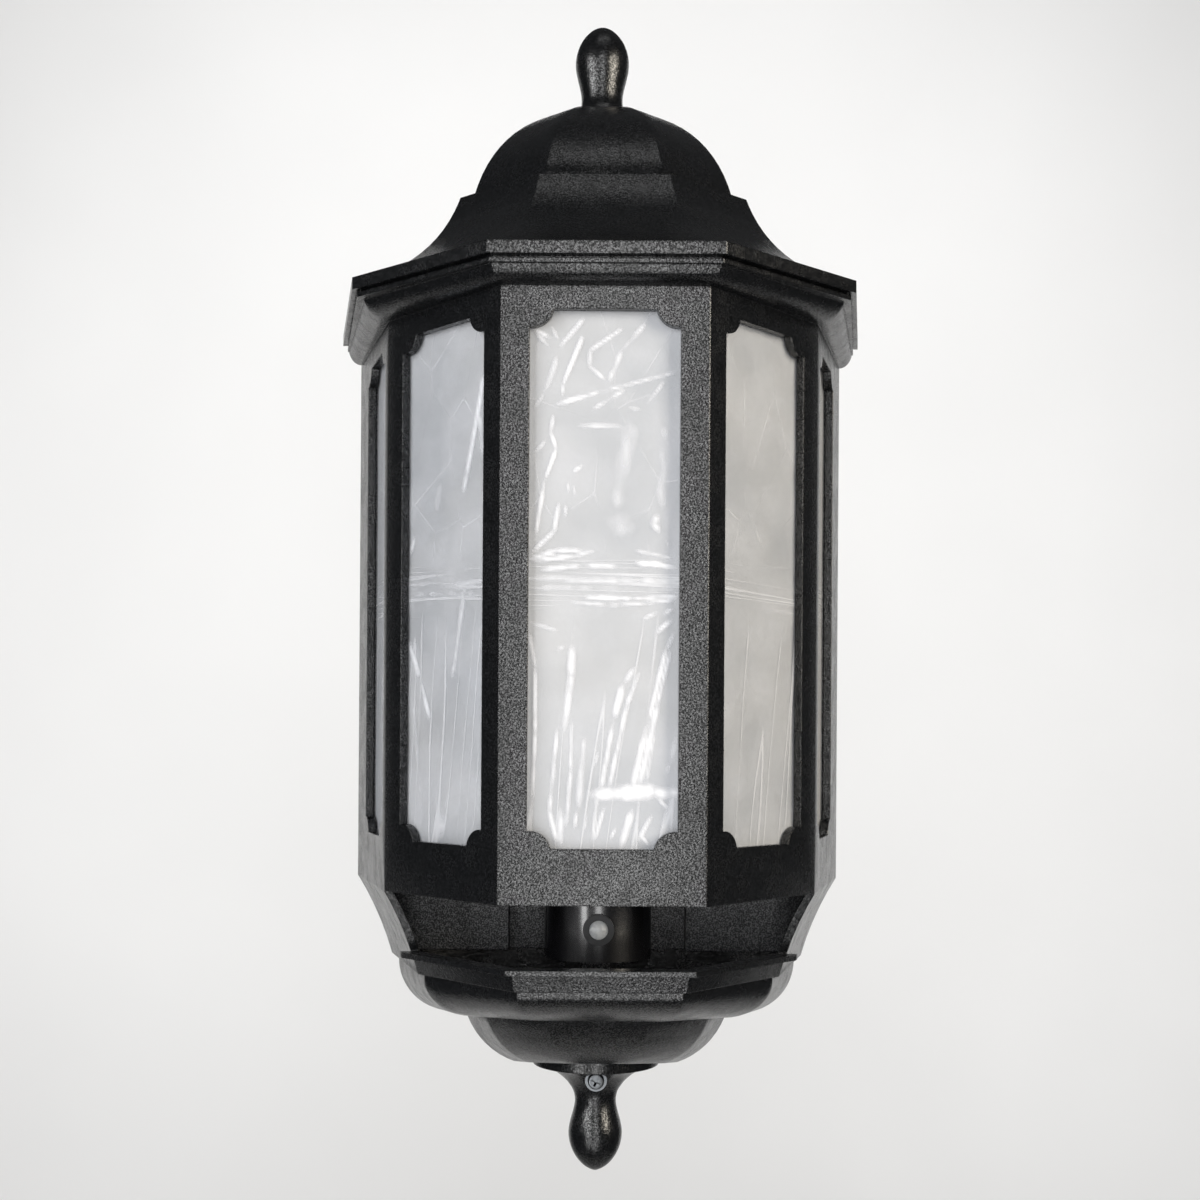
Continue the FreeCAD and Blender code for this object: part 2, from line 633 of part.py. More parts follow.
def make_back_plate():
    """Moulded tray with the sensor pocket, fixing pillars, hooks and the screw tongue."""
    tray = tray_form(0, SKIN_FRONT, PLATE_BOTTOM, PLATE_TOP)
    hollow = tray_form(PLATE_SKIN, SKIN_BACK, PLATE_BOTTOM + PLATE_SKIN, PLATE_TOP - PLATE_SKIN)
    side = POCKET_HALF + PLATE_SKIN
    pocket_wall = block(-side, side, SKIN_FRONT, POCKET_BACK, PLATE_BOTTOM, POCKET_TOP + PLATE_SKIN)
    pocket = block(-POCKET_HALF, POCKET_HALF, SKIN_FRONT, POCKET_FACE, PLATE_BOTTOM, POCKET_TOP)
    tongue = block(-BOSS_R, BOSS_R, -TONGUE_THICK, FAR, SCREW_Z, PLATE_BOTTOM + PLATE_SKIN)
    adds = [pocket_wall, tongue, hook(-1), hook(1), along_y(BOSS_R, 0, SCREW_Z, -BOSS_TALL, FAR)]
    adds += [along_y(FIXING_PILLAR_R, x, z, SKIN_FRONT, FAR) for x, z in at_fixings()]
    screw_bosses = at_bracket_screws() + at_block_screws()
    boss_end = SKIN_BACK + SCREW_BOSS_TALL
    adds += [along_y(SCREW_BOSS_R, x, z, SKIN_FRONT, boss_end) for x, z in screw_bosses]
    cuts = [pocket, along_y(INSERT_R, 0, SCREW_Z, -FAR, -BOSS_TALL + INSERT_LENGTH)]
    cuts += [along_y(FIXING_HOLE_R, x, z, -FAR, FAR) for x, z in at_fixings()]
    cuts += [along_y(BRACKET_SCREW_R, x, z, -FAR, boss_end) for x, z in at_bracket_screws()]
    cuts += [along_y(BLOCK_SCREW_R, x, z, -FAR, boss_end) for x, z in at_block_screws()]
    cuts.append(along_y(INLET_HOLE_R, INLET_X, INLET_Z, -FAR, FAR))
    cuts.append(along_y(LEAD_HOLE_R, 0, LEAD_GROMMET_Z, -FAR, FAR))
    cuts.append(along_y(SPIGOT_R + EYE_CLEAR, 0, EYE_Z, -FAR, FAR))
    cuts.append(block(-FAR, FAR, 0, FAR, -FAR, FAR))
    plate = tray.cut(hollow).multiFuse(adds)
    return plate.cut(cuts[0].multiFuse(cuts[1:])).removeSplitter()


def make_diffuser():
    """Opal liner behind the windows, closed at its ends and open to the back plate."""
    outer = straight(BODY, DIFFUSER_BOTTOM, DIFFUSER_TOP, DIFFUSER_INSET)
    low = DIFFUSER_BOTTOM + DIFFUSER_WALL
    inner = straight(BODY, low, DIFFUSER_TOP - DIFFUSER_WALL, DIFFUSER_INSET + DIFFUSER_WALL)
    return outer.cut(inner).cut(block(-FAR, FAR, DIFFUSER_BACK, FAR, -FAR, FAR))


def make_transit_film():
    """Clear film wrapped round the five faces of the diffuser."""
    low = DIFFUSER_BOTTOM + FILM_END_MARGIN
    high = DIFFUSER_TOP - FILM_END_MARGIN
    inset = BODY_WALL + FILM_GAP
    outer = straight(BODY, low, high, inset)
    inner = straight(BODY, low, high, inset + FILM_THICK)
    return outer.cut(inner).cut(block(-FAR, FAR, DIFFUSER_BACK - FILM_BACK_MARGIN, FAR, -FAR, FAR))


def make_diffuser_gasket():
    """Foam frame between the edge of the diffuser and the back plate."""
    low = DIFFUSER_BOTTOM + GASKET_WIDE
    outer = straight(BODY, DIFFUSER_BOTTOM, DIFFUSER_TOP, DIFFUSER_INSET)
    inner = straight(BODY, low, DIFFUSER_TOP - GASKET_WIDE, DIFFUSER_INSET + GASKET_WIDE)
    return outer.cut(inner).common(block(-FAR, FAR, DIFFUSER_BACK, SKIN_FRONT, -FAR, FAR))


def grommet(x, z, hole_r, bore_r):
    """Rubber grommet in the skin of the back plate."""
    flange_r = hole_r + GROMMET_FLANGE
    body = along_y(hole_r, x, z, SKIN_FRONT, SKIN_BACK)
    front = along_y(flange_r, x, z, SKIN_FRONT - GROMMET_LIP, SKIN_FRONT)
    back = along_y(flange_r, x, z, SKIN_BACK, SKIN_BACK + GROMMET_LIP)
    return body.multiFuse([front, back]).cut(along_y(bore_r, x, z, -FAR, FAR))


def make_cable_grommet():
    """Inlet for the supply cable from the wall."""
    return grommet(INLET_X, INLET_Z, INLET_HOLE_R, INLET_BORE_R)


def make_lead_grommet():
    """Way for the sensor leads through the skin of the back plate."""
    return grommet(0, LEAD_GROMMET_Z, LEAD_HOLE_R, LEAD_BORE_R)


def make_lampholder_bracket():
    """Bent steel bracket that carries the lampholder."""
    front = SKIN_FRONT - BRACKET_THICK
    leg = block(-BRACKET_HALF, BRACKET_HALF, front, SKIN_FRONT, SHELF_Z, SHELF_Z + BRACKET_TALL)
    reach = LAMP_Y - BRACKET_REACH
    bracket = leg.fuse(block(-BRACKET_HALF, BRACKET_HALF, reach, SKIN_FRONT, SHELF_Z, SHELF_TOP))
    corners = [e for e in bracket.Edges if e.Length < BRACKET_HALF and e.CenterOfMass.y < LAMP_Y]
    bracket = bracket.makeFillet(BRACKET_HALF / 2, corners)
    holes = [rod(NIPPLE_R + NIPPLE_CLEAR, V(0, LAMP_Y, SHELF_Z), V(0, LAMP_Y, SHELF_TOP))]
    holes += [along_y(BRACKET_SCREW_R, x, z, front, SKIN_FRONT) for x, z in at_bracket_screws()]
    return bracket.cut(holes[0].multiFuse(holes[1:]))


def make_bracket_screws():
    """Two pan head screws through the bracket into the back plate."""
    face = SKIN_FRONT - BRACKET_THICK
    end = SKIN_BACK + SCREW_BOSS_TALL
    screws = []
    for x, z in at_bracket_screws():
        head = along_y(BRACKET_SCREW_HEAD_R, x, z, face - BRACKET_SCREW_HEAD, face)
        screws.append(head.fuse(along_y(BRACKET_SCREW_R, x, z, face, end)))
    return Part.makeCompound(screws)


def make_lampholder_body():
    """Moulded holder with a hollow threaded nipple that passes through the bracket."""
    low = SHELF_Z - NIPPLE_LONG
    shoulder = SHELF_TOP + HOLDER_BASE_TALL
    bore = SHELL_R + NIPPLE_CLEAR
    outline = [
        (NIPPLE_BORE_R, low), (NIPPLE_R, low), (NIPPLE_R, SHELF_TOP), (HOLDER_BASE_R, SHELF_TOP),
        (HOLDER_BASE_R, shoulder), (HOLDER_R, shoulder), (HOLDER_R, HOLDER_TOP), (bore, HOLDER_TOP),
        (bore, HOLDER_FLOOR_Z), (NIPPLE_BORE_R, HOLDER_FLOOR_Z),
    ]
    return turned(outline, LAMP_Y)


def make_lampholder_nut():
    """Nut that draws the holder down on the bracket."""
    base = V(0, LAMP_Y, SHELF_Z - NUT_THICK)
    blank = hexagon(NUT_R, base, V(0, 0, NUT_THICK))
    return blank.cut(rod(NIPPLE_R, base, base + V(0, 0, NUT_THICK)))


def make_lampholder_ring():
    """Loose ring on the outer thread of the holder."""
    bore = HOLDER_R + RING_CLEAR
    low = HOLDER_TOP - RING_TALL
    return turned([(bore, low), (RING_R, low), (RING_R, HOLDER_TOP), (bore, HOLDER_TOP)], LAMP_Y)


def make_lampholder_shell():
    """Threaded metal sleeve that grips the cap of the lamp, with a tab for its lead."""
    bore = SHELL_R - SHELL_THICK
    low = HOLDER_FLOOR_Z
    top = low + SHELL_TALL
    wide = CONTACT_WIDE / 2
    sleeve = turned([(bore, low), (SHELL_R, low), (SHELL_R, top), (bore, top)], LAMP_Y)
    tab = block(-SHELL_R, -CONTACT_SPLIT, LAMP_Y - wide, LAMP_Y + wide, low, low + SHELL_THICK)
    return sleeve.fuse(tab.common(rod(SHELL_R, V(0, LAMP_Y, low), V(0, LAMP_Y, top))))


def make_lampholder_contact():
    """Brass tongue on the floor of the holder under the tip of the lamp."""
    wide = CONTACT_WIDE / 2
    end = CONTACT_SPLIT + CONTACT_LONG
    return block(CONTACT_SPLIT, end, LAMP_Y - wide, LAMP_Y + wide, HOLDER_FLOOR_Z, LAMP_BASE)


def make_led_lamp():
    """Sealed lamp with a screw cap and an opal bulb."""
    neck = LAMP_CAP_TOP + LAMP_NECK_TALL
    top = LAMP_BASE + LAMP_TALL
    centre = top - LAMP_BULB_R
    bite = LAMP_BULB_R * 0.5 ** 0.5
    waist = (LAMP_NECK_R + LAMP_BULB_R) / 2
    outline = [
        (0, LAMP_BASE), (LAMP_TIP_R, LAMP_BASE), (LAMP_TIP_R, LAMP_CAP_LOW), (LAMP_CAP_R, LAMP_CAP_LOW),
        (LAMP_CAP_R, LAMP_CAP_TOP), (LAMP_NECK_R, LAMP_CAP_TOP), (LAMP_NECK_R, neck),
    ]
    points = [V(r, LAMP_Y, z) for r, z in outline]
    edges = [Part.makeLine(a, b) for a, b in zip(points, points[1:])]
    side = V(LAMP_BULB_R, LAMP_Y, centre)
    flank = V(waist + LAMP_CLEAR, LAMP_Y, (neck + centre) / 2)
    crown = V(0, LAMP_Y, top)
    edges.append(Part.Arc(points[-1], flank, side).toShape())
    edges.append(Part.Arc(side, V(bite, LAMP_Y, centre + bite), crown).toShape())
    edges.append(Part.makeLine(crown, points[0]))
    return Part.Face(Part.Wire(edges)).revolve(V(0, LAMP_Y, 0), V(0, 0, 1), 360)


def pole_heights():
    """Heights of the poles of the terminal block, from the lowest."""
    return [BLOCK_Z + (i - (POLE_COUNT - 1) / 2) * POLE_PITCH for i in range(POLE_COUNT)]


def tunnel_bar(radius, half, z):
    """Round bar along a pole of the terminal block."""
    return rod(radius, V(BLOCK_X - half, TUNNEL_Y, z), V(BLOCK_X + half, TUNNEL_Y, z))


def clamp_bars(radius, front, back):
    """Round bars at every clamp screw of the terminal block."""
    places = [(BLOCK_X + s * CLAMP_X, z) for z in pole_heights() for s in (-1, 1)]
    return [along_y(radius, x, z, front, back) for x, z in places]


def make_terminal_block():
    """Moulded block with a tunnel and two clamp wells to each pole."""
    tall = POLE_COUNT * POLE_PITCH / 2
    x0 = BLOCK_X - BLOCK_HALF_WIDE
    x1 = BLOCK_X + BLOCK_HALF_WIDE
    body = block(x0, x1, BLOCK_FRONT, SKIN_FRONT, BLOCK_Z - tall, BLOCK_Z + tall)
    cuts = clamp_bars(CLAMP_R + CLAMP_CLEAR, BLOCK_FRONT, TUNNEL_Y)
    cuts += [tunnel_bar(TUNNEL_R, BLOCK_HALF_WIDE, z) for z in pole_heights()]
    cuts += [along_y(BLOCK_SCREW_R, x, z, BLOCK_FRONT, SKIN_FRONT) for x, z in at_block_screws()]
    return body.cut(cuts[0].multiFuse(cuts[1:]))


def make_terminal_tunnels():
    """Brass tubes that the leads are clamped in."""
    wells = clamp_bars(CLAMP_R + CLAMP_CLEAR, BLOCK_FRONT, TUNNEL_Y)
    tubes = []
    for z in pole_heights():
        tube = tunnel_bar(TUNNEL_R, TUNNEL_HALF, z).cut(tunnel_bar(TUNNEL_BORE_R, BLOCK_HALF_WIDE, z))
        tubes.append(tube.cut(wells[0].multiFuse(wells[1:])))
    return Part.makeCompound(tubes)


def make_clamp_screws():
    """Clamp screws of the terminal block."""
    tip = TUNNEL_Y - LEAD_R - CLAMP_CLEAR
    return Part.makeCompound(clamp_bars(CLAMP_R, BLOCK_FRONT + CLAMP_SINK, tip))


def make_block_screws():
    """Two screws that hold the terminal block to the back plate."""
    end = SKIN_BACK + SCREW_BOSS_TALL
    bars = [along_y(BLOCK_SCREW_R, x, z, BLOCK_FRONT + CLAMP_SINK, end) for x, z in at_block_screws()]
    return Part.makeCompound(bars)


def make_sensor_housing():
    """Glossy round cup with the eye hole in front and a hollow spigot behind."""
    axis = V(0, SENSOR_Y, 0)
    cup = rod(SENSOR_R, axis + V(0, 0, SENSOR_BOTTOM), axis + V(0, 0, SENSOR_TOP))
    room = rod(SENSOR_R - SENSOR_WALL, axis + V(0, 0, SENSOR_FLOOR), axis + V(0, 0, SENSOR_TOP))
    inside = SENSOR_Y + SENSOR_R - SENSOR_WALL
    spigot = along_y(SPIGOT_R, 0, EYE_Z, inside, POCKET_BACK + SPIGOT_BEHIND)
    eye = along_y(EYE_SPIGOT_R + EYE_CLEAR, 0, EYE_Z, -FAR, SENSOR_Y)
    bore = along_y(SPIGOT_BORE_R, 0, EYE_Z, SENSOR_Y, FAR)
    return cup.fuse(spigot).cut(room).cut(eye).cut(bore)


def make_sensor_cap():
    """Lid that closes the top of the sensor housing."""
    axis = V(0, SENSOR_Y, 0)
    lid = rod(SENSOR_R, axis + V(0, 0, SENSOR_TOP), axis + V(0, 0, SENSOR_TOP + SENSOR_CAP))
    plug_r = SENSOR_R - SENSOR_WALL - EYE_CLEAR
    return lid.fuse(rod(plug_r, axis + V(0, 0, SENSOR_TOP - SENSOR_CAP), axis + V(0, 0, SENSOR_TOP)))


def make_sensor_nut():
    """Nut on the spigot behind the pocket of the back plate."""
    blank = hexagon(SENSOR_NUT_R, V(0, POCKET_BACK, EYE_Z), V(0, SENSOR_NUT_THICK, 0))
    return blank.cut(along_y(SPIGOT_R, 0, EYE_Z, -FAR, FAR))


def make_eye_ring():
    """Ring round the eye, seated on the round wall of the housing."""
    axis = V(0, SENSOR_Y, 0)
    cup = rod(SENSOR_R, axis + V(0, 0, SENSOR_BOTTOM), axis + V(0, 0, SENSOR_TOP))
    front = SENSOR_FRONT - EYE_RING_PROUD
    flange = along_y(EYE_RING_R, 0, EYE_Z, front, SENSOR_FRONT + SENSOR_WALL).cut(cup)
    ring = flange.fuse(along_y(EYE_SPIGOT_R, 0, EYE_Z, front, SENSOR_FRONT + SENSOR_WALL))
    return ring.cut(along_y(EYE_RING_BORE_R, 0, EYE_Z, -FAR, 0))


def make_eye_lens():
    """Clear lens with a crowned front, pressed into the eye ring."""
    front = SENSOR_FRONT - EYE_RING_PROUD - LENS_PROUD
    bar = along_y(EYE_RING_BORE_R, 0, EYE_Z, front, SENSOR_FRONT + LENS_DEEP)
    return bar.common(Part.makeSphere(LENS_CROWN_R, V(0, front + LENS_CROWN_R, EYE_Z)))


def make_light_cell():
    """Light cell behind the lens, soldered to its board."""
    return along_y(CELL_R, 0, EYE_Z, CELL_BACK - CELL_LONG, CELL_BACK)


def make_sensor_board():
    """Circuit board that stands on the floor of the housing."""
    top = SENSOR_FLOOR + BOARD_TALL
    return block(-BOARD_HALF, BOARD_HALF, CELL_BACK, BOARD_BACK, SENSOR_FLOOR, top)


def make_sensor_relay():
    """Relay on the back of the board."""
    half = RELAY_WIDE / 2
    low = SENSOR_FLOOR + RELAY_LIFT
    return block(-half, half, BOARD_BACK, BOARD_BACK + RELAY_DEEP, low, low + RELAY_TALL)


def lead(points):
    """Insulated lead along straight runs with a round bend at each turn."""
    edges = []
    start = points[0]
    for before, corner, after in zip(points, points[1:], points[2:]):
        into = (corner - before).normalize()
        out = (after - corner).normalize()
        inward = (out - into).normalize()
        first = corner - into * LEAD_BEND_R
        last = corner + out * LEAD_BEND_R
        via = corner + inward * (LEAD_BEND_R * (2 ** 0.5 - 1))
        edges.append(Part.LineSegment(start, first).toShape())
        edges.append(Part.Arc(first, via, last).toShape())
        start = last
    edges.append(Part.LineSegment(start, points[-1]).toShape())
    path = Part.Wire(edges)
    ring = Part.Wire(Part.makeCircle(LEAD_R, points[0], points[1] - points[0]))
    return path.makePipeShell([ring], True, True)


def make_live_lead():
    """Lead from the sensor board, behind the skin and up to the terminal block."""
    x = -LEAD_SPREAD
    top = pole_heights()[-1]
    return lead([
        V(x, BOARD_BACK, EYE_Z),
        V(x, LEAD_BEHIND_Y, EYE_Z),
        V(x, LEAD_BEHIND_Y, LEAD_GROMMET_Z),
        V(x, TUNNEL_Y, LEAD_GROMMET_Z),
        V(LIVE_X, TUNNEL_Y, LEAD_GROMMET_Z),
        V(LIVE_X, TUNNEL_Y, top),
        V(BLOCK_X + TUNNEL_HALF - LEAD_INTO_TUNNEL, TUNNEL_Y, top),
    ])


def make_switched_lead():
    """Lead from the sensor board, behind the skin and up into the lampholder."""
    x = LEAD_SPREAD
    return lead([
        V(x, BOARD_BACK, EYE_Z),
        V(x, LEAD_BEHIND_Y, EYE_Z),
        V(x, LEAD_BEHIND_Y, LEAD_GROMMET_Z),
        V(x, LAMP_Y, LEAD_GROMMET_Z),
        V(x, LAMP_Y, HOLDER_FLOOR_Z),
    ])


def make_neutral_lead():
    """Lead from the terminal block down under the bracket and up into the lampholder."""
    low = LEAD_GROMMET_Z - NEUTRAL_DROP
    start = pole_heights()[0]
    return lead([
        V(BLOCK_X + TUNNEL_HALF - LEAD_INTO_TUNNEL, TUNNEL_Y, start),
        V(NEUTRAL_X, TUNNEL_Y, start),
        V(NEUTRAL_X, TUNNEL_Y, low),
        V(NEUTRAL_X, LAMP_Y, low),
        V(-LEAD_SPREAD, LAMP_Y, low),
        V(-LEAD_SPREAD, LAMP_Y, HOLDER_FLOOR_Z),
    ])


PARTS = {
    "lantern_body": make_lantern_body,
    "diffuser": make_diffuser,
    "transit_film": make_transit_film,
    "back_plate": make_back_plate,
    "diffuser_gasket": make_diffuser_gasket,
    "cable_grommet": make_cable_grommet,
    "lead_grommet": make_lead_grommet,
    "lampholder_bracket": make_lampholder_bracket,
    "bracket_screws": make_bracket_screws,
    "lampholder_body": make_lampholder_body,
    "lampholder_nut": make_lampholder_nut,
    "lampholder_ring": make_lampholder_ring,
    "lampholder_shell": make_lampholder_shell,
    "lampholder_contact": make_lampholder_contact,
    "led_lamp": make_led_lamp,
    "terminal_block": make_terminal_block,
    "terminal_tunnels": make_terminal_tunnels,
    "clamp_screws": make_clamp_screws,
    "block_screws": make_block_screws,
    "sensor_housing": make_sensor_housing,
    "sensor_cap": make_sensor_cap,
    "sensor_nut": make_sensor_nut,
    "eye_ring": make_eye_ring,
    "eye_lens": make_eye_lens,
    "light_cell": make_light_cell,
    "sensor_board": make_sensor_board,
    "sensor_relay": make_sensor_relay,
    "live_lead": make_live_lead,
    "switched_lead": make_switched_lead,
    "neutral_lead": make_neutral_lead,
    "retaining_screw": make_retaining_screw,
    "screw_washer": make_screw_washer,
    "threaded_insert": make_threaded_insert,
}

os.makedirs("parts", exist_ok=True)
for name, make in PARTS.items():
    make().exportStep(os.path.join("parts", name + ".step"))
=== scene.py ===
import math

import bmesh
import bpy
from mathutils import Matrix, Vector, noise


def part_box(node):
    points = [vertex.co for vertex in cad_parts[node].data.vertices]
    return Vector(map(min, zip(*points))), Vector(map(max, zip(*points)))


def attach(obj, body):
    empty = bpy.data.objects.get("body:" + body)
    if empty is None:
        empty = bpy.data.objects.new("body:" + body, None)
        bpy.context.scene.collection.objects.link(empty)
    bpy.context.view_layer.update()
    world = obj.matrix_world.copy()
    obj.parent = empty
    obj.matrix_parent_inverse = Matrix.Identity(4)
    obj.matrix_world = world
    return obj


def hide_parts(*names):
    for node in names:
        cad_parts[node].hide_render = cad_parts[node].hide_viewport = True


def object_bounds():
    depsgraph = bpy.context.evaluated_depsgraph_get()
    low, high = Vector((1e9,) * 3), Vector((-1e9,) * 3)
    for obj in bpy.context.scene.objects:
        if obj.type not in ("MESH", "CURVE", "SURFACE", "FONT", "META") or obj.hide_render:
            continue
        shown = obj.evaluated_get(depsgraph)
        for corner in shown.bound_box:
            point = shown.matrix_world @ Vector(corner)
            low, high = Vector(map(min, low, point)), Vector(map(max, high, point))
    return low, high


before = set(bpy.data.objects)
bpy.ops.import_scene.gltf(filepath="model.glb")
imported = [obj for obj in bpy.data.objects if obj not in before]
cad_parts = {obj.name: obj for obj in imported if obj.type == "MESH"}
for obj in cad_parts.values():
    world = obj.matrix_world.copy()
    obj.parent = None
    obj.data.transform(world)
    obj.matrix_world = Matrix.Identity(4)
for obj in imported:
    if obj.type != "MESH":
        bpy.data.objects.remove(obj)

bl_info = {
    "name": "Half lantern wall light",
    "version": (1, 0, 0),
    "blender": (4, 5, 0),
    "location": "View3D > Sidebar > Lantern",
    "description": "Dresses the half lantern and sets its stage",
    "category": "Object",
}

MM = 0.001
# Height of the taut band across the film above its lower edge
FILM_BAND = 86 * MM
# Distance from the band at which its wrinkles have mostly gone
FILM_BAND_REACH = 20 * MM
# Pitch of the film's columns on its five runs from the right, and of its rows, in steps: finest where the folds show
FILM_PITCH = (2.3, 2.3, 0.7, 1.0, 2.3)
FILM_ROW_PITCH = 0.9
# Width beside each corner of the diffuser over which the film comes to lie flat
FILM_CORNER = 3 * MM
# Folds of the film, in mm: its two ends, each right of the film's middle and above its lower edge, then its half
# width and the brightness of the highlight painted along it
FOLD_HIGHLIGHTS = (
    (-6.2, 158.8, -12.5, 151.1, 0.9, 0.8), (-14.9, 156.7, -13.1, 153.3, 0.9, 0.6),
    (-32.4, 156.7, -36.6, 146.5, 1.4, 0.7), (4.6, 156.2, -4.1, 150.2, 0.9, 0.9),
    (-19.7, 155.9, -14.6, 153.3, 0.9, 0.8), (-19.1, 154.8, -15.4, 151.1, 0.9, 0.6),
    (-6.5, 153.5, -11.6, 140.8, 0.9, 1), (4.6, 150.3, 11, 157.7, 1.1, 0.6), (-4.1, 150.2, -4.4, 145.9, 1, 0.8),
    (-13.1, 148.8, -16.5, 138.7, 1.4, 0.5), (-4.4, 145.9, -0.1, 142.2, 1, 1),
    (-37.3, 144.8, -46.4, 112.5, 1.5, 0.9), (0.9, 141.4, 4.6, 150.3, 1.3, 0.9),
    (-11.6, 140.8, -11.8, 137.7, 1, 0.9), (-16.5, 138.7, -19.7, 134, 0.9, 0.5),
    (-1.7, 138.7, 19.4, 144.3, 0.9, 0.6), (-13.1, 135.3, -1.7, 138.7, 1, 1), (-39.4, 134.6, -37.3, 122.7, 1.6, 0.5),
    (6.7, 134.5, 11, 133.7, 1, 0.5), (11, 134.5, 16.3, 141.9, 1, 0.5), (-3.8, 133.7, 5.7, 139.5, 1, 0.6),
    (-14.1, 132.4, -14.9, 127.6, 1, 0.8), (7.3, 130.3, 3.1, 106.5, 3.7, 0.4), (16.3, 130.3, 15.5, 106, 2.8, 0.35),
    (-8, 129.4, 4.6, 129.4, 1, 0.6), (-14.9, 127.6, -13.3, 122.9, 1, 1), (-13.3, 122.9, -16.5, 114.4, 0.9, 1),
    (-19.4, 121.8, -16.5, 125, 1.1, 0.9), (-56.2, 121, -59, 108.3, 2.9, 0.3), (-5.9, 118.7, -9.6, 115.8, 1.1, 0.8),
    (-10, 115, -9.9, 110.7, 1, 0.8), (-16.5, 114.4, -18.9, 99.1, 0.9, 1), (-8.6, 113.9, -8, 109.2, 0.9, 0.7),
    (-37.3, 112.5, -33.8, 101.4, 1.4, 0.8), (-12.5, 108.1, -13.8, 100.2, 1, 0.7),
    (-10.4, 108.1, -10.9, 104.4, 0.9, 0.6), (3.6, 106, 5.7, 98.6, 5.8, 0.3), (-69.5, 103.1, -71.6, 97.2, 1.6, 0.7),
    (13.7, 102.6, 15.3, 105.2, 1.8, 1), (13.7, 102.6, 15.3, 100.4, 1.6, 1), (-13.8, 100.2, -19.9, 94.4, 1, 0.9),
    (16.8, 98.9, 18.1, 95.4, 1, 0.7), (7.8, 95.2, 20, 92.8, 0.9, 0.6), (-13.3, 94.8, -5.9, 95, 1, 1),
    (-8, 93.3, -2.8, 94.9, 1, 0.9), (-20.7, 92.3, -13.3, 94.8, 1, 1), (-19.7, 92, -8, 93.3, 0.9, 0.8),
    (8.9, 91.6, 20.2, 90.4, 1, 1), (8.9, 91.6, 16.3, 91.7, 0.9, 0.8), (-5.9, 90.7, 3.6, 90.7, 1, 1),
    (-17, 89.6, -5.9, 90.7, 1, 0.8), (-70.2, 87.8, -49.2, 88.3, 1.4, 0.3), (-20.7, 87.3, 20.5, 87.3, 1, 0.5),
    (-10.2, 86.5, 20.2, 86.1, 1, 0.7), (-45, 86.1, -50.6, 60.6, 1.6, 0.5), (-70.2, 85.3, -39.4, 83.6, 1.4, 0.3),
    (-20.7, 84.6, 20.5, 84.4, 1.4, 0.35), (-4.9, 82, 7.8, 81.7, 1, 1), (7.8, 81.7, 20.2, 82.5, 0.9, 0.8),
    (-11.2, 80.9, 1.5, 79.8, 0.9, 0.6), (12, 80.4, 20, 81.7, 0.9, 0.8), (1.5, 79.8, 12, 80.4, 0.9, 0.8),
    (16.8, 77.6, 19.2, 79.1, 1, 0.8), (9.9, 75.7, 16, 78.5, 1, 0.7), (-20.2, 74.9, -12, 72.6, 1, 0.6),
    (14.4, 72.2, 18.9, 75.9, 1.1, 0.9), (19.4, 72.2, 17.3, 67.5, 0.9, 0.6), (-20.3, 71.7, -18.9, 62.7, 0.9, 0.8),
    (-71.6, 70.8, -67.4, 60.6, 1.6, 1), (-8.8, 68, -8.8, 60.6, 1.5, 1), (-12.4, 67.5, -10.9, 68.5, 1.1, 1),
    (17.3, 67.5, 12.6, 47.9, 1, 1), (18.4, 66.9, 14.9, 52.2, 0.9, 0.9), (-69.9, 66.9, -66.5, 60.7, 1.5, 1),
    (-18.9, 62.7, -18.7, 44.8, 0.9, 1), (8.9, 62.7, 5.4, 58, 1.4, 0.8), (9.9, 61.1, 6.5, 52.2, 1, 1),
    (-66.5, 60.7, -61.6, 48.9, 1.6, 0.7), (-8.8, 60.6, -10.7, 44.8, 1.4, 0.9), (5.4, 58, 3.1, 48.5, 1.5, 1),
    (-69.9, 53, -65, 20.5, 1.6, 0.35), (6.5, 52.2, 2, 30, 1, 0.9), (14.9, 52.2, 10.4, 30.5, 1.3, 1),
    (-8.5, 48.5, -8.8, 34.2, 0.9, 0.8), (3.1, 48.5, -0.4, 29.4, 1.1, 1), (12.6, 47.9, 8.3, 29.4, 1.4, 1),
    (-12.5, 45.8, -14.6, 23.1, 0.9, 0.8), (-18.7, 44.8, -19.4, 25.8, 0.9, 0.8), (14.4, 44.8, 12, 30.5, 1, 0.5),
    (20.5, 44.5, 17.8, 33.1, 1.6, 0.5), (-5.1, 43.2, -6.7, 23.1, 1.4, 0.6), (-1.2, 39.5, -2.8, 34.7, 1.1, 0.6),
    (-8.8, 34.2, -9.9, 18.9, 0.9, 0.8), (-49.9, 29.3, -55.8, 20.5, 2.3, 0.3), (-1.2, 28.9, -2.8, 13.6, 0.9, 0.7),
    (4.6, 28.1, 14.7, 28.3, 3.1, 1.4), (13.1, 27.9, 20.2, 28.2, 2.3, 1.2), (-2.8, 27.7, 6.2, 27.9, 2.3, 1.2),
    (14.7, 27.3, 18.9, 23.1, 1, 0.7), (-11.5, 24.2, -11.5, 13.1, 1.4, 0.7), (0.4, 23.6, -2, 14.7, 0.9, 0.8),
    (-14.6, 23.1, -12.5, 14.1, 1, 0.9), (8.1, 23.1, 5.2, 13.1, 1.6, 1), (-7, 23.1, -7.8, 17.3, 0.9, 0.7),
    (-4.3, 22.1, -5.1, 17.3, 0.9, 0.7), (13.9, 22.1, 9.9, 14.7, 1.1, 0.7), (17.3, 21, 20, 19.9, 1, 0.7),
    (4.1, 18.9, 2, 14.7, 0.9, 0.7), (10.4, 16.8, 12.6, 14.1, 0.9, 0.8),
)
CAD_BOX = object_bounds()

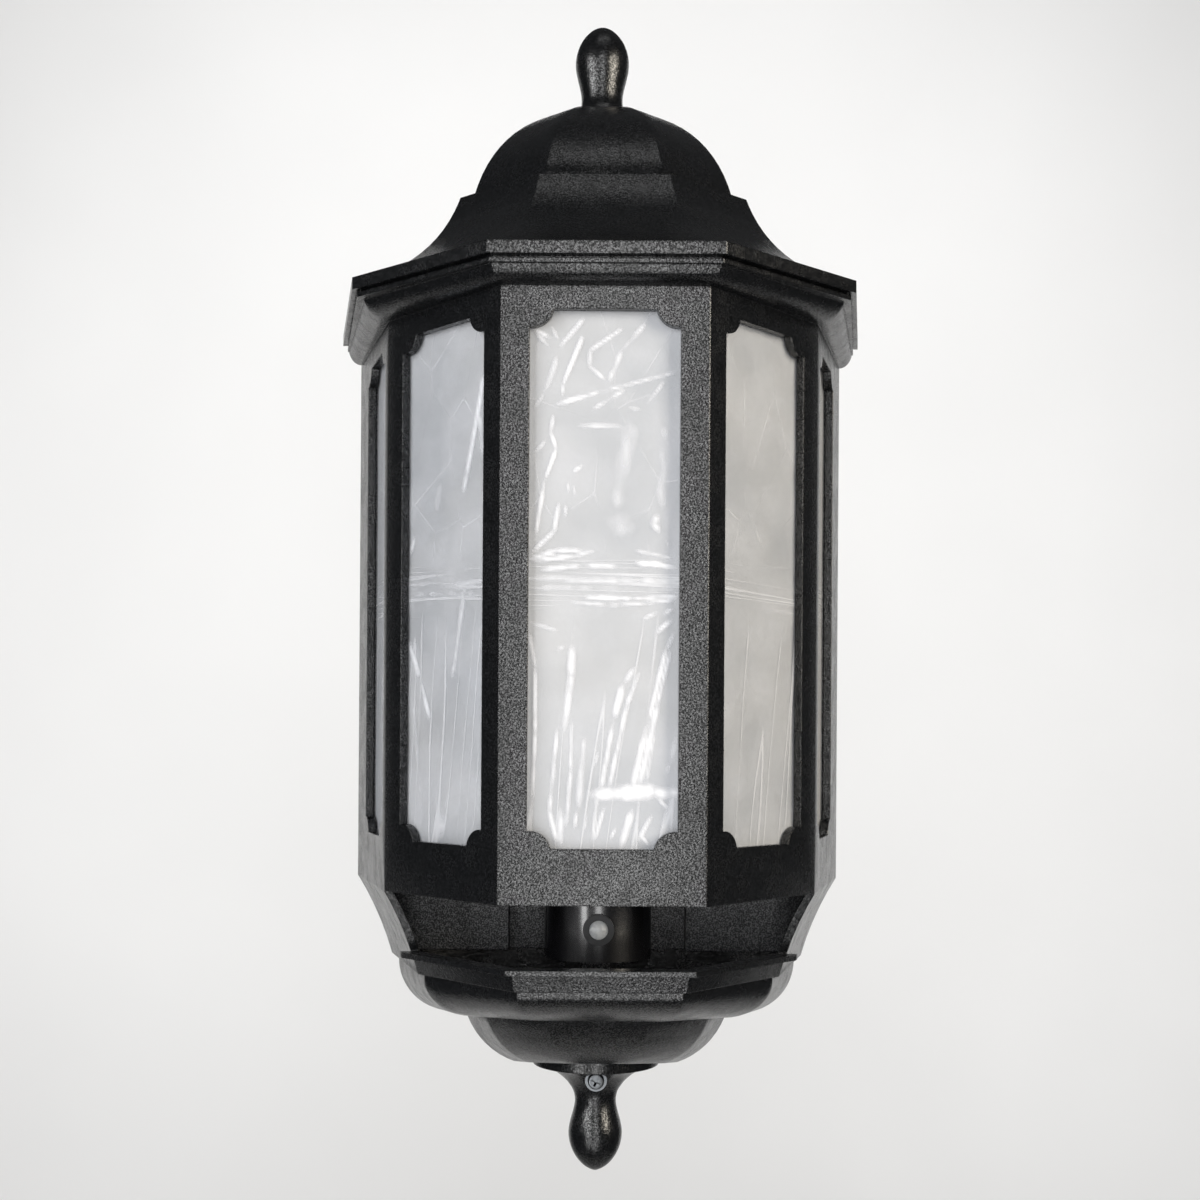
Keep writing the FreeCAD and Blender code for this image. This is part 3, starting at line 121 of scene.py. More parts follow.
# Nodes that only need clean normals and a material, with the material of each
PLAIN_NODES = {
    "diffuser": "opal",
    "diffuser_gasket": "foam",
    "cable_grommet": "rubber",
    "lead_grommet": "rubber",
    "lampholder_bracket": "zinc",
    "lampholder_body": "white",
    "lampholder_nut": "zinc",
    "lampholder_ring": "white",
    "lampholder_shell": "brass",
    "lampholder_contact": "brass",
    "led_lamp": "lamp",
    "terminal_block": "nylon",
    "terminal_tunnels": "brass",
    "sensor_nut": "gloss",
    "light_cell": "white",
    "sensor_board": "board",
    "sensor_relay": "relay",
    "live_lead": "brown",
    "switched_lead": "red",
    "neutral_lead": "blue",
    "screw_washer": "zinc",
    "threaded_insert": "brass",
}


def rgb(code):
    """Linear colour of a hex code."""
    parts = [int(code[i:i + 2], 16) / 255 for i in (1, 3, 5)]
    return [p / 12.92 if p <= 0.04045 else ((p + 0.055) / 1.055) ** 2.4 for p in parts] + [1.0]


class LanternBodySettings(bpy.types.PropertyGroup):
    """Edges, surface and colours of the mouldings."""
    edge: bpy.props.FloatProperty(
        name="Edge", description="Radius of the soft edge of a moulding", default=0.6 * MM,
        unit="LENGTH", subtype="DISTANCE", min=0.0)
    grain: bpy.props.FloatProperty(
        name="Grain", description="Size of one grain of the spark texture, coarse enough to show", default=0.65 * MM,
        unit="LENGTH", subtype="DISTANCE", min=0.01 * MM)
    black: bpy.props.FloatVectorProperty(
        name="Black", description="Colour of the body between its flecks", default=rgb("#08090a")[:3],
        subtype="COLOR", min=0.0, max=1.0)
    opal: bpy.props.FloatVectorProperty(
        name="Opal", description="Colour of the diffuser between its clouds", default=rgb("#b3b4b6")[:3],
        subtype="COLOR", min=0.0, max=1.0)


class LanternFilmSettings(bpy.types.PropertyGroup):
    """Clear film round the diffuser."""
    step: bpy.props.FloatProperty(
        name="Step", description="Distance between the points of the film", default=0.85 * MM,
        unit="LENGTH", subtype="DISTANCE", min=0.5 * MM)
    thick: bpy.props.FloatProperty(
        name="Thickness", description="Thickness of the film", default=0.06 * MM,
        unit="LENGTH", subtype="DISTANCE", min=0.01 * MM)
    swing: bpy.props.FloatProperty(
        name="Swing", description="How far a wrinkle stands out from the middle of the gap", default=0.24 * MM,
        unit="LENGTH", subtype="DISTANCE", min=0.0)
    seed: bpy.props.FloatProperty(
        name="Seed", description="Place of the wrinkles in the noise", default=3.7, min=0.0, subtype="UNSIGNED")


class LanternStageSettings(bpy.types.PropertyGroup):
    """Camera, sweep and lamps."""
    eye: bpy.props.FloatVectorProperty(
        name="Eye", description="Place of the camera", default=(-7.85 * MM, -539 * MM, -39.85 * MM),
        subtype="XYZ", unit="LENGTH")
    lens: bpy.props.FloatProperty(
        name="Lens", description="Focal length on a 36 mm sensor, in millimetres", default=48.35,
        unit="CAMERA", min=1.0)
    shift: bpy.props.FloatVectorProperty(
        name="Shift", description="Shift of the picture, in frame widths", size=2, default=(0.0214, 0.115),
        subtype="XYZ")
    roll: bpy.props.FloatProperty(
        name="Roll", description="Lean of the camera", default=-0.0068, subtype="ANGLE", unit="ROTATION")
    flash: bpy.props.FloatProperty(
        name="Flash", description="Power of the soft lamp behind the camera", default=2.3, unit="POWER")
    strip: bpy.props.FloatProperty(
        name="Strip", description="Power of the narrow lamp left of the camera", default=2.0, unit="POWER")
    top: bpy.props.FloatProperty(
        name="Top", description="Power of the soft lamp over the roof", default=0.3, unit="POWER")
    left: bpy.props.FloatProperty(
        name="Left", description="Power of the soft lamp at the left", default=3.0, unit="POWER")
    right: bpy.props.FloatProperty(
        name="Right", description="Power of the soft lamp at the right", default=5.6, unit="POWER")
    paper: bpy.props.FloatProperty(
        name="Paper", description="Power of each lamp on the paper sweep", default=6.0, unit="POWER")
    room: bpy.props.FloatProperty(
        name="Room", description="Level of the soft room all round", default=0.07,
        subtype="FACTOR", min=0.0, max=1.0)


def add(tree, kind, inputs=(), **settings):
    """Adds a node; an input that is a socket is linked and any other is set."""
    made = tree.nodes.new(kind)
    for key, value in settings.items():
        setattr(made, key, value)
    for key, value in dict(inputs).items():
        if isinstance(value, bpy.types.NodeSocket):
            tree.links.new(value, made.inputs[key])
        else:
            made.inputs[key].default_value = value
    return made


def material(name, colour, **sockets):
    """New material with one Principled shader; returns it with its tree and shader."""
    made = bpy.data.materials.new(name)
    made.use_nodes = True
    tree = made.node_tree
    shader = tree.nodes["Principled BSDF"]
    shader.inputs["Base Color"].default_value = colour
    for key, value in sockets.items():
        shader.inputs[key.replace("_", " ")].default_value = value
    return made, tree, shader


def grains(tree, size, detail=2.0):
    """Noise over the surface whose grains have a real size."""
    place = add(tree, "ShaderNodeTexCoord").outputs["Object"]
    return add(tree, "ShaderNodeTexNoise", {"Vector": place, "Scale": 1 / size, "Detail": detail}).outputs["Fac"]


def bump(tree, shader, height, depth, strength=1.0, edge=0.0):
    """Relief of a real depth on the shader, over edges softened by a radius."""
    inputs = {"Height": height, "Distance": depth, "Strength": strength}
    if edge:
        inputs["Normal"] = add(tree, "ShaderNodeBevel", {"Radius": edge}, samples=4).outputs["Normal"]
    tree.links.new(add(tree, "ShaderNodeBump", inputs).outputs["Normal"], shader.inputs["Normal"])


# Colour sockets of a Mix node, which share their names with its other sockets
FIRST, SECOND, MIXED = 6, 7, 2


def speckled(name, dark, painted_glint_colour, rough, settings):
    """Moulded plastic with a spark texture: a satin dark ground with shinier flecks that catch the light, painted
    paler as glints.
    """
    made, tree, shader = material(name, dark, IOR=1.585)
    # A real spark grain of about 0.1 mm is too fine to show, so it is drawn coarser
    size = settings.grain
    flecks = grains(tree, size * 0.7, 1.0)
    # The paler colour of the flecks is a painted glint; their shine set below is real
    painted_glint_mask = add(tree, "ShaderNodeMapRange", {"Value": flecks, "From Min": 0.5, "From Max": 0.7}).outputs["Result"]
    colour = add(tree, "ShaderNodeMix", {0: painted_glint_mask, FIRST: dark, SECOND: painted_glint_colour}, data_type="RGBA").outputs[MIXED]
    inputs = {"Value": flecks, "From Min": 0.4, "From Max": 0.64, "To Min": 0.2, "To Max": 1.0}
    shine = add(tree, "ShaderNodeMapRange", inputs).outputs["Result"]
    inputs = {"Value": grains(tree, size * 9), "From Min": 0.3, "From Max": 0.7,
              "To Min": rough - 0.05, "To Max": rough + 0.05}
    dull = add(tree, "ShaderNodeMapRange", inputs).outputs["Result"]
    for socket, value in (("Base Color", colour), ("Specular IOR Level", shine), ("Roughness", dull)):
        tree.links.new(value, shader.inputs[socket])
    bump(tree, shader, grains(tree, size), 0.16 * MM, 0.6, settings.edge)
    return made


def drifting(tree, shader, size, colour, other):
    """Colour of a shader that drifts slowly between two over patches of a real size."""
    inputs = {"Value": grains(tree, size), "From Min": 0.3, "From Max": 0.7}
    drift = add(tree, "ShaderNodeMapRange", inputs).outputs["Result"]
    mixed = add(tree, "ShaderNodeMix", {0: drift, FIRST: colour, SECOND: other}, data_type="RGBA").outputs[MIXED]
    tree.links.new(mixed, shader.inputs["Base Color"])


def tinted(name, colour, other, size, rough, depth, **sockets):
    """Smooth material with a slow drift of colour and a fine relief."""
    made, tree, shader = material(name, rgb(colour), Roughness=rough, **sockets)
    drifting(tree, shader, size, rgb(colour), rgb(other))
    bump(tree, shader, grains(tree, size * 0.2), depth, 0.4)
    return made


def brushed(name, colour, rough):
    """Bright metal with fine drawn lines that stretch its highlights."""
    made, tree, shader = material(name, rgb(colour), Metallic=1.0)
    place = add(tree, "ShaderNodeTexCoord").outputs["Object"]
    # Nine lines to the millimetre, drawn out ten times as long in depth
    drawn = add(tree, "ShaderNodeVectorMath", {0: place, 1: (9 / MM, 0.9 / MM, 9 / MM)}, operation="MULTIPLY")
    lines = add(tree, "ShaderNodeTexNoise", {"Vector": drawn.outputs["Vector"], "Scale": 1.0}).outputs["Fac"]
    inputs = {"Value": lines, "From Min": 0.3, "From Max": 0.7, "To Min": rough * 0.7, "To Max": rough * 1.3}
    tree.links.new(add(tree, "ShaderNodeMapRange", inputs).outputs["Result"], shader.inputs["Roughness"])
    bump(tree, shader, lines, 0.01 * MM, 0.3)
    return made


def opal_plastic(settings):
    """Opal polycarbonate: milky white, satin, with the faint flow clouds of a moulding."""
    colour = (*settings.opal, 1.0)
    made, tree, shader = material("opal polycarbonate, moulded", colour, Roughness=0.5)
    drifting(tree, shader, 40 * MM, colour, rgb("#a7aaaf"))
    bump(tree, shader, grains(tree, 6 * MM), 0.05 * MM, 0.3)
    return made


def ridges(tree, place, size, slant, keen):
    """Thin straight lines of a size across and along, leaning by a slant, as sharp as asked."""
    inputs = {"Vector": place, "Rotation": (0, 0, slant), "Scale": (*size, 1.0)}
    pulled = add(tree, "ShaderNodeMapping", inputs, vector_type="TEXTURE").outputs["Vector"]
    wave = add(tree, "ShaderNodeTexNoise", {"Vector": pulled, "Scale": 1.0, "Detail": 0.5}).outputs["Fac"]
    inputs = {"Value": away_from(tree, wave, 0.5), "From Min": 0.0, "From Max": keen, "To Min": 1.0, "To Max": 0.0}
    return add(tree, "ShaderNodeMapRange", inputs).outputs["Result"]


def crumples(tree, place, size, keen):
    """Thin straight lines of a crumpled sheet, whose facets have a size across and along."""
    inputs = {"Vector": place, "Scale": (*size, 1.0)}
    pulled = add(tree, "ShaderNodeMapping", inputs, vector_type="TEXTURE").outputs["Vector"]
    inputs = {"Vector": pulled, "Scale": 1.0}
    cells = add(tree, "ShaderNodeTexVoronoi", inputs, feature="DISTANCE_TO_EDGE", voronoi_dimensions="2D")
    inputs = {"Value": cells.outputs["Distance"], "From Min": 0.0, "From Max": keen, "To Min": 1.0, "To Max": 0.0}
    return add(tree, "ShaderNodeMapRange", inputs).outputs["Result"]


def away_from(tree, value, middle):
    """Distance of a value from a middle one."""
    off = add(tree, "ShaderNodeMath", {0: value, 1: middle}, operation="SUBTRACT").outputs["Value"]
    return add(tree, "ShaderNodeMath", {0: off}, operation="ABSOLUTE").outputs["Value"]


def clear_film():
    """Clear polythene film: crumpled above and streaked below a taut band, with creases painted as white highlights
    over the opal.
    """
    made, tree, shader = material(
        "polythene film, creased", rgb("#f6f7fb"), Roughness=0.12, IOR=1.5, Specular_IOR_Level=0.15)
    flat = add(tree, "ShaderNodeUVMap", uv_map="flat").outputs["UV"]
    height = add(tree, "ShaderNodeSeparateXYZ", {"Vector": flat}).outputs["Y"]
    mottle = add(tree, "ShaderNodeTexNoise", {"Vector": flat, "Scale": 1 / (18 * MM)}).outputs["Fac"]
    zones = []
    for value, start, end, low, high in (
            (away_from(tree, height, FILM_BAND), 3 * MM, 10 * MM, 1.0, 0.0),
            (height, FILM_BAND, FILM_BAND + 10 * MM, 0.0, 1.0),
            (height, FILM_BAND - 16 * MM, FILM_BAND - 2 * MM, 1.0, 0.0),
            (mottle, 0.3, 0.7, 0.0, 1.0), (mottle, 0.3, 0.7, 0.04, 0.2)):
        inputs = {"Value": value, "From Min": start, "From Max": end, "To Min": low, "To Max": high}
        zones.append(add(tree, "ShaderNodeMapRange", inputs).outputs["Result"])
    band, upper, lower, patch, clouds = zones
    # The folds and fine lines are painted highlights: the white film turns opaque along them
    crease = add(tree, "ShaderNodeAttribute", attribute_name="fold").outputs["Fac"]
    # The fine lines of painted highlight are fainter than the folds
    faint = 0.4
    for line, *parts in (
            (crumples(tree, flat, (15 * MM, 27 * MM), 0.03), patch, upper, faint),
            (ridges(tree, flat, (7 * MM, 150 * MM), 0.1, 0.02), lower, faint),
            (ridges(tree, flat, (110 * MM, 2.2 * MM), 0.02, 0.06), band, faint)):
        for part in parts:
            line = add(tree, "ShaderNodeMath", {0: line, 1: part}, operation="MULTIPLY").outputs["Value"]
        crease = add(tree, "ShaderNodeMath", {0: crease, 1: line}, operation="MAXIMUM").outputs["Value"]
    alpha = add(tree, "ShaderNodeMath", {0: clouds, 1: crease}, operation="MAXIMUM").outputs["Value"]
    tree.links.new(alpha, shader.inputs["Alpha"])
    bump(tree, shader, crease, 0.25 * MM, 0.6)
    return made


def lamp_skin():
    """Lamp: frosted white bulb above a plated screw cap."""
    made, tree, shader = material("frosted lamp with a plated cap", rgb("#f2f2ee"), Roughness=0.4)
    place = add(tree, "ShaderNodeTexCoord").outputs["Object"]
    height = add(tree, "ShaderNodeSeparateXYZ", {"Vector": place}).outputs["Z"]
    cap = add(tree, "ShaderNodeMath", {0: height, 1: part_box("lampholder_body")[1].z}, operation="LESS_THAN")
    inputs = {0: cap.outputs["Value"], FIRST: rgb("#f2f2ee"), SECOND: rgb("#c8c9cc")}
    mixed = add(tree, "ShaderNodeMix", inputs, data_type="RGBA").outputs[MIXED]
    tree.links.new(mixed, shader.inputs["Base Color"])
    tree.links.new(cap.outputs["Value"], shader.inputs["Metallic"])
    return made


def make_materials(settings):
    """Every material of the lantern by its short name."""
    black = (*settings.black, 1.0)
    return {
        # Near black and satin: a flat face turns grey under a lamp, with sparkling flecks painted paler as glints
        "body": speckled("black polycarbonate, spark textured", black, rgb("#17181b"), 0.26, settings),
        # Greyer and duller than the body; its lighter grey is painted light that makes up for the shade of the recess
        # it sits in
        "plate": speckled("black polycarbonate, moulded tray", rgb("#202225"), rgb("#46484c"), 0.38, settings),
        "opal": opal_plastic(settings),
        "film": clear_film(),
        # Deep black with soft upright highlights
        "gloss": tinted("black plastic, polished", "#0d0d10", "#131316", 12 * MM, 0.26, 0.03 * MM,
                        Specular_IOR_Level=1.0, Coat_Weight=1.0, Coat_Roughness=0.15),
        # Dull smoky grey, darker than the lens inside it
        "ring": tinted("smoky clear plastic ring", "#1c1d1f", "#2a2b2e", 3 * MM, 0.4, 0.05 * MM),
        # Bright and uneven, like ground glass
        "lens": tinted("frosted moulded lens", "#f4f6f7", "#d4d8da", 1.5 * MM, 0.24, 0.1 * MM,
                       Specular_IOR_Level=1.0),
        # Cool grey metal with drawn lines
        "zinc": brushed("steel, zinc plated", "#76797c", 0.4),
        # Warm yellow metal with brighter turned lines
        "brass": brushed("brass, turned", "#c9a24f", 0.26),
        # Black with no highlight to speak of
        "rubber": tinted("moulded rubber", "#141414", "#1d1d1d", 4 * MM, 0.7, 0.05 * MM),
        # Dark grey, open and quite matt
        "foam": tinted("closed cell foam", "#2c2c2e", "#3a3a3c", 1.2 * MM, 0.9, 0.2 * MM),
        # Warm white with a soft sheen
        "white": tinted("heat proof moulding, white", "#e4e1d8", "#d9d5ca", 9 * MM, 0.42, 0.02 * MM),
        # Creamy and slightly waxy
        "nylon": tinted("natural nylon moulding", "#e6e2d3", "#dcd7c5", 6 * MM, 0.45, 0.02 * MM),
        # Green lacquer with a satin gleam
        "board": tinted("coated circuit board", "#15532c", "#1d6636", 3 * MM, 0.35, 0.03 * MM),
        # Clean blue box with a soft sheen
        "relay": tinted("relay case, moulded", "#1c3a78", "#234689", 5 * MM, 0.3, 0.01 * MM),
        # Satin insulation, told apart by its colour
        "brown": tinted("lead insulation, brown", "#4f2a17", "#5a3220", 6 * MM, 0.4, 0.02 * MM),
        "red": tinted("lead insulation, red", "#8c1d18", "#98261f", 6 * MM, 0.4, 0.02 * MM),
        "blue": tinted("lead insulation, blue", "#1d4a94", "#24539f", 6 * MM, 0.4, 0.02 * MM),
        "lamp": lamp_skin(),
    }


LOOKS = {}


def look(name):
    """Material by its short name, made on first use."""
    if not LOOKS:
        LOOKS.update(make_materials(bpy.context.scene.lantern_body))
    return LOOKS[name]


def show(mesh, name, surface, *nodes):
    """Links a mesh as a finished piece that stands for CAD nodes."""
    mesh.materials.clear()
    mesh.materials.append(look(surface))
    piece = bpy.data.objects.new(name, mesh)
    bpy.context.scene.collection.objects.link(piece)
    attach(piece, "root")
    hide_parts(*nodes)
    return piece


def merged(node):
    """Copy of a CAD mesh whose triangles share their corners."""
    form = bmesh.new()
    form.from_mesh(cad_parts[node].data)
    bmesh.ops.remove_doubles(form, verts=form.verts, dist=0.002 * MM)
    bmesh.ops.dissolve_degenerate(form, edges=form.edges, dist=0.001 * MM)
    return form


def finished(form, name, sharp=math.radians(30)):
    """Mesh with smooth faces whose sharp edges stay sharp."""
    mesh = bpy.data.meshes.new(name)
    for face in form.faces:
        face.smooth = True
    for edge in form.edges:
        edge.smooth = len(edge.link_faces) == 2 and edge.calc_face_angle() < sharp
    form.to_mesh(mesh)
    form.free()
    return mesh


def islands(node):
    """Lowest and highest corner of each separate solid of a CAD node."""
    form = merged(node)
    left = set(form.verts)
    boxes = []
    while left:
        stack = [left.pop()]
        group = list(stack)
        while stack:
            for edge in stack.pop().link_edges:
                for vert in edge.verts:
                    if vert in left:
                        left.remove(vert)
                        stack.append(vert)
                        group.append(vert)
        low = Vector([min(v.co[i] for v in group) for i in range(3)])
        high = Vector([max(v.co[i] for v in group) for i in range(3)])
        boxes.append((low, high))
    form.free()
    return boxes


def fill_notch(form):
    """Widens the screw tongue into the play of its notch, so that no daylight shows beside it."""
    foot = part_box("sensor_housing")[0].z
    half = max(v.co.x for v in form.verts if v.co.z < foot - 1 * MM)
    play = 0.38 * MM
    for vert in form.verts:
        if vert.co.z < foot + 0.1 * MM and abs(vert.co.x) < half + 0.1 * MM:
            vert.co.x *= (half + play) / half


class LANTERN_OT_mouldings(bpy.types.Operator):
    """Black mouldings and the sensor's eye"""
    bl_idname = "lantern.mouldings"
    bl_label = "Mouldings"

    def execute(self, context):
        rows = [("lantern_body", "body"), ("back_plate", "plate"), ("sensor_housing", "gloss"),
                ("sensor_cap", "gloss"), ("eye_ring", "ring"), ("eye_lens", "lens")]
        for node, surface in rows:
            name = node + "_moulding"
            form = merged(node)
            if node == "back_plate":
                fill_notch(form)
            show(finished(form, name), name, surface, node)
        return {"FINISHED"}


class LANTERN_OT_inner_pieces(bpy.types.Operator):
    """Inner pieces with clean normals and their own materials"""
    bl_idname = "lantern.inner_pieces"
    bl_label = "Inner pieces"

    def execute(self, context):
        for node, surface in PLAIN_NODES.items():
            name = node + "_piece"
            show(finished(merged(node), name), name, surface, node)
        return {"FINISHED"}


def film_path():
    """Corners of the film's middle line in plan, from the right of the back round to the left."""
    middle = sum(c.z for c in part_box("transit_film")) / 2
    form = merged("transit_film")
    spots = {(round(v.co.x, 6), round(v.co.y, 6)) for v in form.verts if v.co.z < middle}
    form.free()
    centre = Vector((0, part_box("transit_film")[1].y))
    ring = sorted((Vector(s) for s in spots), key=lambda p: math.atan2(p.x - centre.x, centre.y - p.y))
    pairs = [ring[i:i + 2] for i in range(0, len(ring), 2)]
    return [(a + b) / 2 for a, b in reversed(pairs)]


def film_columns(path, back, step):
    """Columns of the film: place, outward direction, way along the film and distance from the nearest corner."""
    columns = []
    along = 0.0
    for a, b, pitch in zip(path, path[1:], FILM_PITCH):
        run = (b - a).length
        count = max(2, round(run / step / pitch))
        side = (b - a).normalized()
        out = Vector((-side.y, side.x))
        if out.dot((a + b) / 2 - Vector((0, back))) < 0:
            out.negate()
        for i in range(count):
            share = i / count
            columns.append((a.lerp(b, share), out, along + run * share, min(share, 1 - share) * run))
        along += run
    columns.append((path[-1], out, along, 0.0))
    return columns


def fold_highlight(across, up):
    """Brightness of the highlight painted along the folds at a place right of the film's middle and above its lower
    edge.
    """
    bright = 0.0
    place = Vector((across / MM, up / MM))
    for x, z, end_x, end_z, half, level in FOLD_HIGHLIGHTS:
        beside = min(x, end_x) - half < place.x < max(x, end_x) + half
        if beside and min(z, end_z) - half < place.y < max(z, end_z) + half:
            start = Vector((x, z))
            run = Vector((end_x, end_z)) - start
            share = max(0.0, min(1.0, (place - start).dot(run) / run.length_squared))
            # A fold's painted highlight grows fainter towards its ends
            fade = min(1.0, 0.4 + 0.3 * min(share, 1 - share) * run.length)
            bright = max(bright, level * fade * (1 - (place - start - run * share).length / half))
    # Its brightness comes and goes over a few millimetres
    return bright * (0.8 + 0.6 * noise.noise(Vector((place.x * 0.4, place.y * 0.25, 2.5))))


def crease(s, z, seed):
    """Height of the film's wrinkles, from -1 to 1: slanting folds, fine creases and a taut band."""
    # The numbers before s and z are waves per metre along the film and up it
    warp = noise.noise(Vector((s * 20, z * 12, seed))) * 1.4
    folds = 1 - 2 * abs(noise.noise(Vector((s * 90 + warp + z * 25, z * 9, seed + 5))))
    fine = 1 - 2 * abs(noise.noise(Vector((s * 210 + warp * 3, z * 70, seed + 9))))
    near = math.exp(-((z - FILM_BAND) / FILM_BAND_REACH) ** 2)
    band = 1 - 2 * abs(noise.noise(Vector((s * 30, z * 160 + warp, seed + 13))))
    height = 0.9 * folds + 0.5 * fine + 0.9 * near * band - 0.8
    return max(-1.0, min(1.0, height))


class LANTERN_OT_film(bpy.types.Operator):
    """Creased clear film round the diffuser"""
    bl_idname = "lantern.film"
    bl_label = "Film"

    def execute(self, context):
        settings = context.scene.lantern_film
        low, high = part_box("transit_film")
        tall = high.z - low.z
        rows = round(tall / settings.step / FILM_ROW_PITCH)
        columns = film_columns(film_path(), high.y, settings.step)
        along = columns[-1][2]
        form = bmesh.new()
        grid = []
        for spot, out, s, edge in columns:
            line = []
            for j in range(rows + 1):
                z = low.z + tall * j / rows
                swing = crease(s, z - low.z, settings.seed) * settings.swing * min(1.0, edge / FILM_CORNER)
                place = spot + out * swing
                line.append(form.verts.new((place.x, place.y, z)))
            grid.append(line)
        for left, right in zip(grid, grid[1:]):
            for j in range(rows):
                form.faces.new((left[j], left[j + 1], right[j + 1], right[j]))
        bmesh.ops.recalc_face_normals(form, faces=form.faces)
        form.verts.index_update()
        spots = [(s, tall * j / rows) for _, _, s, _ in columns for j in range(rows + 1)]
        bmesh.ops.solidify(form, geom=form.faces, thickness=settings.thick)
        form.verts.index_update()
        bmesh.ops.recalc_face_normals(form, faces=form.faces)
        # The fold attribute carries the brightness of the highlights painted along the folds
        fold = form.verts.layers.float.new("fold")
        bright = [fold_highlight(along / 2 - s, z) for s, z in spots]
        for vert in form.verts:
            vert[fold] = bright[vert.index % len(spots)]
        flat = form.loops.layers.uv.new("flat")
        for face in form.faces:
            for loop in face.loops:
                loop[flat].uv = spots[loop.vert.index % len(spots)]
        film = show(finished(form, "creased_film", math.radians(60)), "creased_film", "film", "transit_film")
        return {"FINISHED"}


def lathe(profile, steps):
    """Closed mesh turned about Y from a profile of radius and place, with both ends on the axis."""
    form = bmesh.new()
    rings = []
    for radius, y in profile:
        if radius == 0:
            rings.append([form.verts.new((0, y, 0))])
            continue
        turns = [2 * math.pi * i / steps for i in range(steps)]
        rings.append([form.verts.new((radius * math.cos(t), y, radius * math.sin(t))) for t in turns])
    for near, far in zip(rings, rings[1:]):
        for i in range(steps):
            k = (i + 1) % steps
            corners = [near[i % len(near)], near[k % len(near)], far[k % len(far)], far[i % len(far)]]
            form.faces.new(list(dict.fromkeys(corners)))
    bmesh.ops.recalc_face_normals(form, faces=form.faces)
    return form


def drive_cut(form, boxes):
    """Cuts the drive recess of a screw, given as boxes of half width, half height and depth."""
    mesh = bpy.data.meshes.new("screw blank")
    form.to_mesh(mesh)
    form.free()
    blank = bpy.data.objects.new("screw blank", mesh)
    bpy.context.scene.collection.objects.link(blank)
    tools = []
    front = min(v.co.y for v in mesh.vertices)
    for half, rise, depth in boxes:
        tool = bmesh.new()
        bmesh.ops.create_cube(tool, size=2.0)
        bmesh.ops.transform(tool, verts=tool.verts, matrix=Matrix.Diagonal((half, depth, rise, 1)))
        bmesh.ops.translate(tool, verts=tool.verts, vec=(0, front, 0))
        cutter = bpy.data.meshes.new("screw drive")
        tool.to_mesh(cutter)
        tool.free()
        piece = bpy.data.objects.new("screw drive", cutter)
        bpy.context.scene.collection.objects.link(piece)
        cut = blank.modifiers.new("drive", "BOOLEAN")
        cut.object = piece
        cut.solver = "EXACT"
        tools.append(piece)
    bpy.context.view_layer.update()
    made = bpy.data.meshes.new_from_object(blank.evaluated_get(bpy.context.evaluated_depsgraph_get()))
    for piece in tools + [blank]:
        bpy.data.objects.remove(piece)
    form = bmesh.new()
    form.from_mesh(made)
    return form


def screw(head_r, head_tall, shank_r, length, boxes):
    """Screw along Y with the top of its head at the front, a rounded rim and a drive recess."""
    curve = [math.radians(a) for a in (0, 30, 60, 90)]
    soft = min(head_tall, head_r) * 0.45
    rim = [(head_r - soft + soft * math.sin(a), soft - soft * math.cos(a)) for a in curve]
    profile = [(0, 0)] + rim + [(head_r, head_tall), (shank_r, head_tall), (shank_r, length), (0, length)]
    return drive_cut(lathe(profile, 40), boxes)


class LANTERN_OT_retaining_screw(bpy.types.Operator):
    """Pan head screw with a cross recess at the foot of the bowl"""
    bl_idname = "lantern.retaining_screw"
    bl_label = "Retaining screw"

    def execute(self, context):
        low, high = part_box("retaining_screw")
        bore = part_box("threaded_insert")
        shank = (bore[1].x - bore[0].x) * 0.35
        head = (high.x - low.x) / 2
        arm = head * 0.62
        boxes = [(arm, head * 0.14, 1.1 * MM), (head * 0.14, arm, 1.1 * MM)]
        form = screw(head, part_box("screw_washer")[0].y - low.y, shank, high.y - low.y, boxes)
        turned = math.radians(22)
        bmesh.ops.rotate(form, verts=form.verts, matrix=Matrix.Rotation(turned, 3, "Y"))
        bmesh.ops.translate(form, verts=form.verts, vec=(0, low.y, (low.z + high.z) / 2))
        show(finished(form, "cross_screw"), "cross_screw", "zinc", "retaining_screw")
        return {"FINISHED"}


def scatter_tree():
    """Node tree that sets one screw on every point and gives it a material."""
    tree = bpy.data.node_groups.new("Screws on points", "GeometryNodeTree")
    tree.interface.new_socket("Geometry", in_out="INPUT", socket_type="NodeSocketGeometry")
    tree.interface.new_socket("Screw", in_out="INPUT", socket_type="NodeSocketObject")
    tree.interface.new_socket("Material", in_out="INPUT", socket_type="NodeSocketMaterial")
    tree.interface.new_socket("Geometry", in_out="OUTPUT", socket_type="NodeSocketGeometry")
    given = add(tree, "NodeGroupInput")
    screw_info = add(tree, "GeometryNodeObjectInfo", {"Object": given.outputs["Screw"]})
    placed = add(tree, "GeometryNodeInstanceOnPoints", {
        "Points": given.outputs["Geometry"], "Instance": screw_info.outputs["Geometry"]})
    real = add(tree, "GeometryNodeRealizeInstances", {"Geometry": placed.outputs["Instances"]})
    painted = add(tree, "GeometryNodeSetMaterial", {
        "Geometry": real.outputs["Geometry"], "Material": given.outputs["Material"]})
    add(tree, "NodeGroupOutput", {"Geometry": painted.outputs["Geometry"]})
    return tree


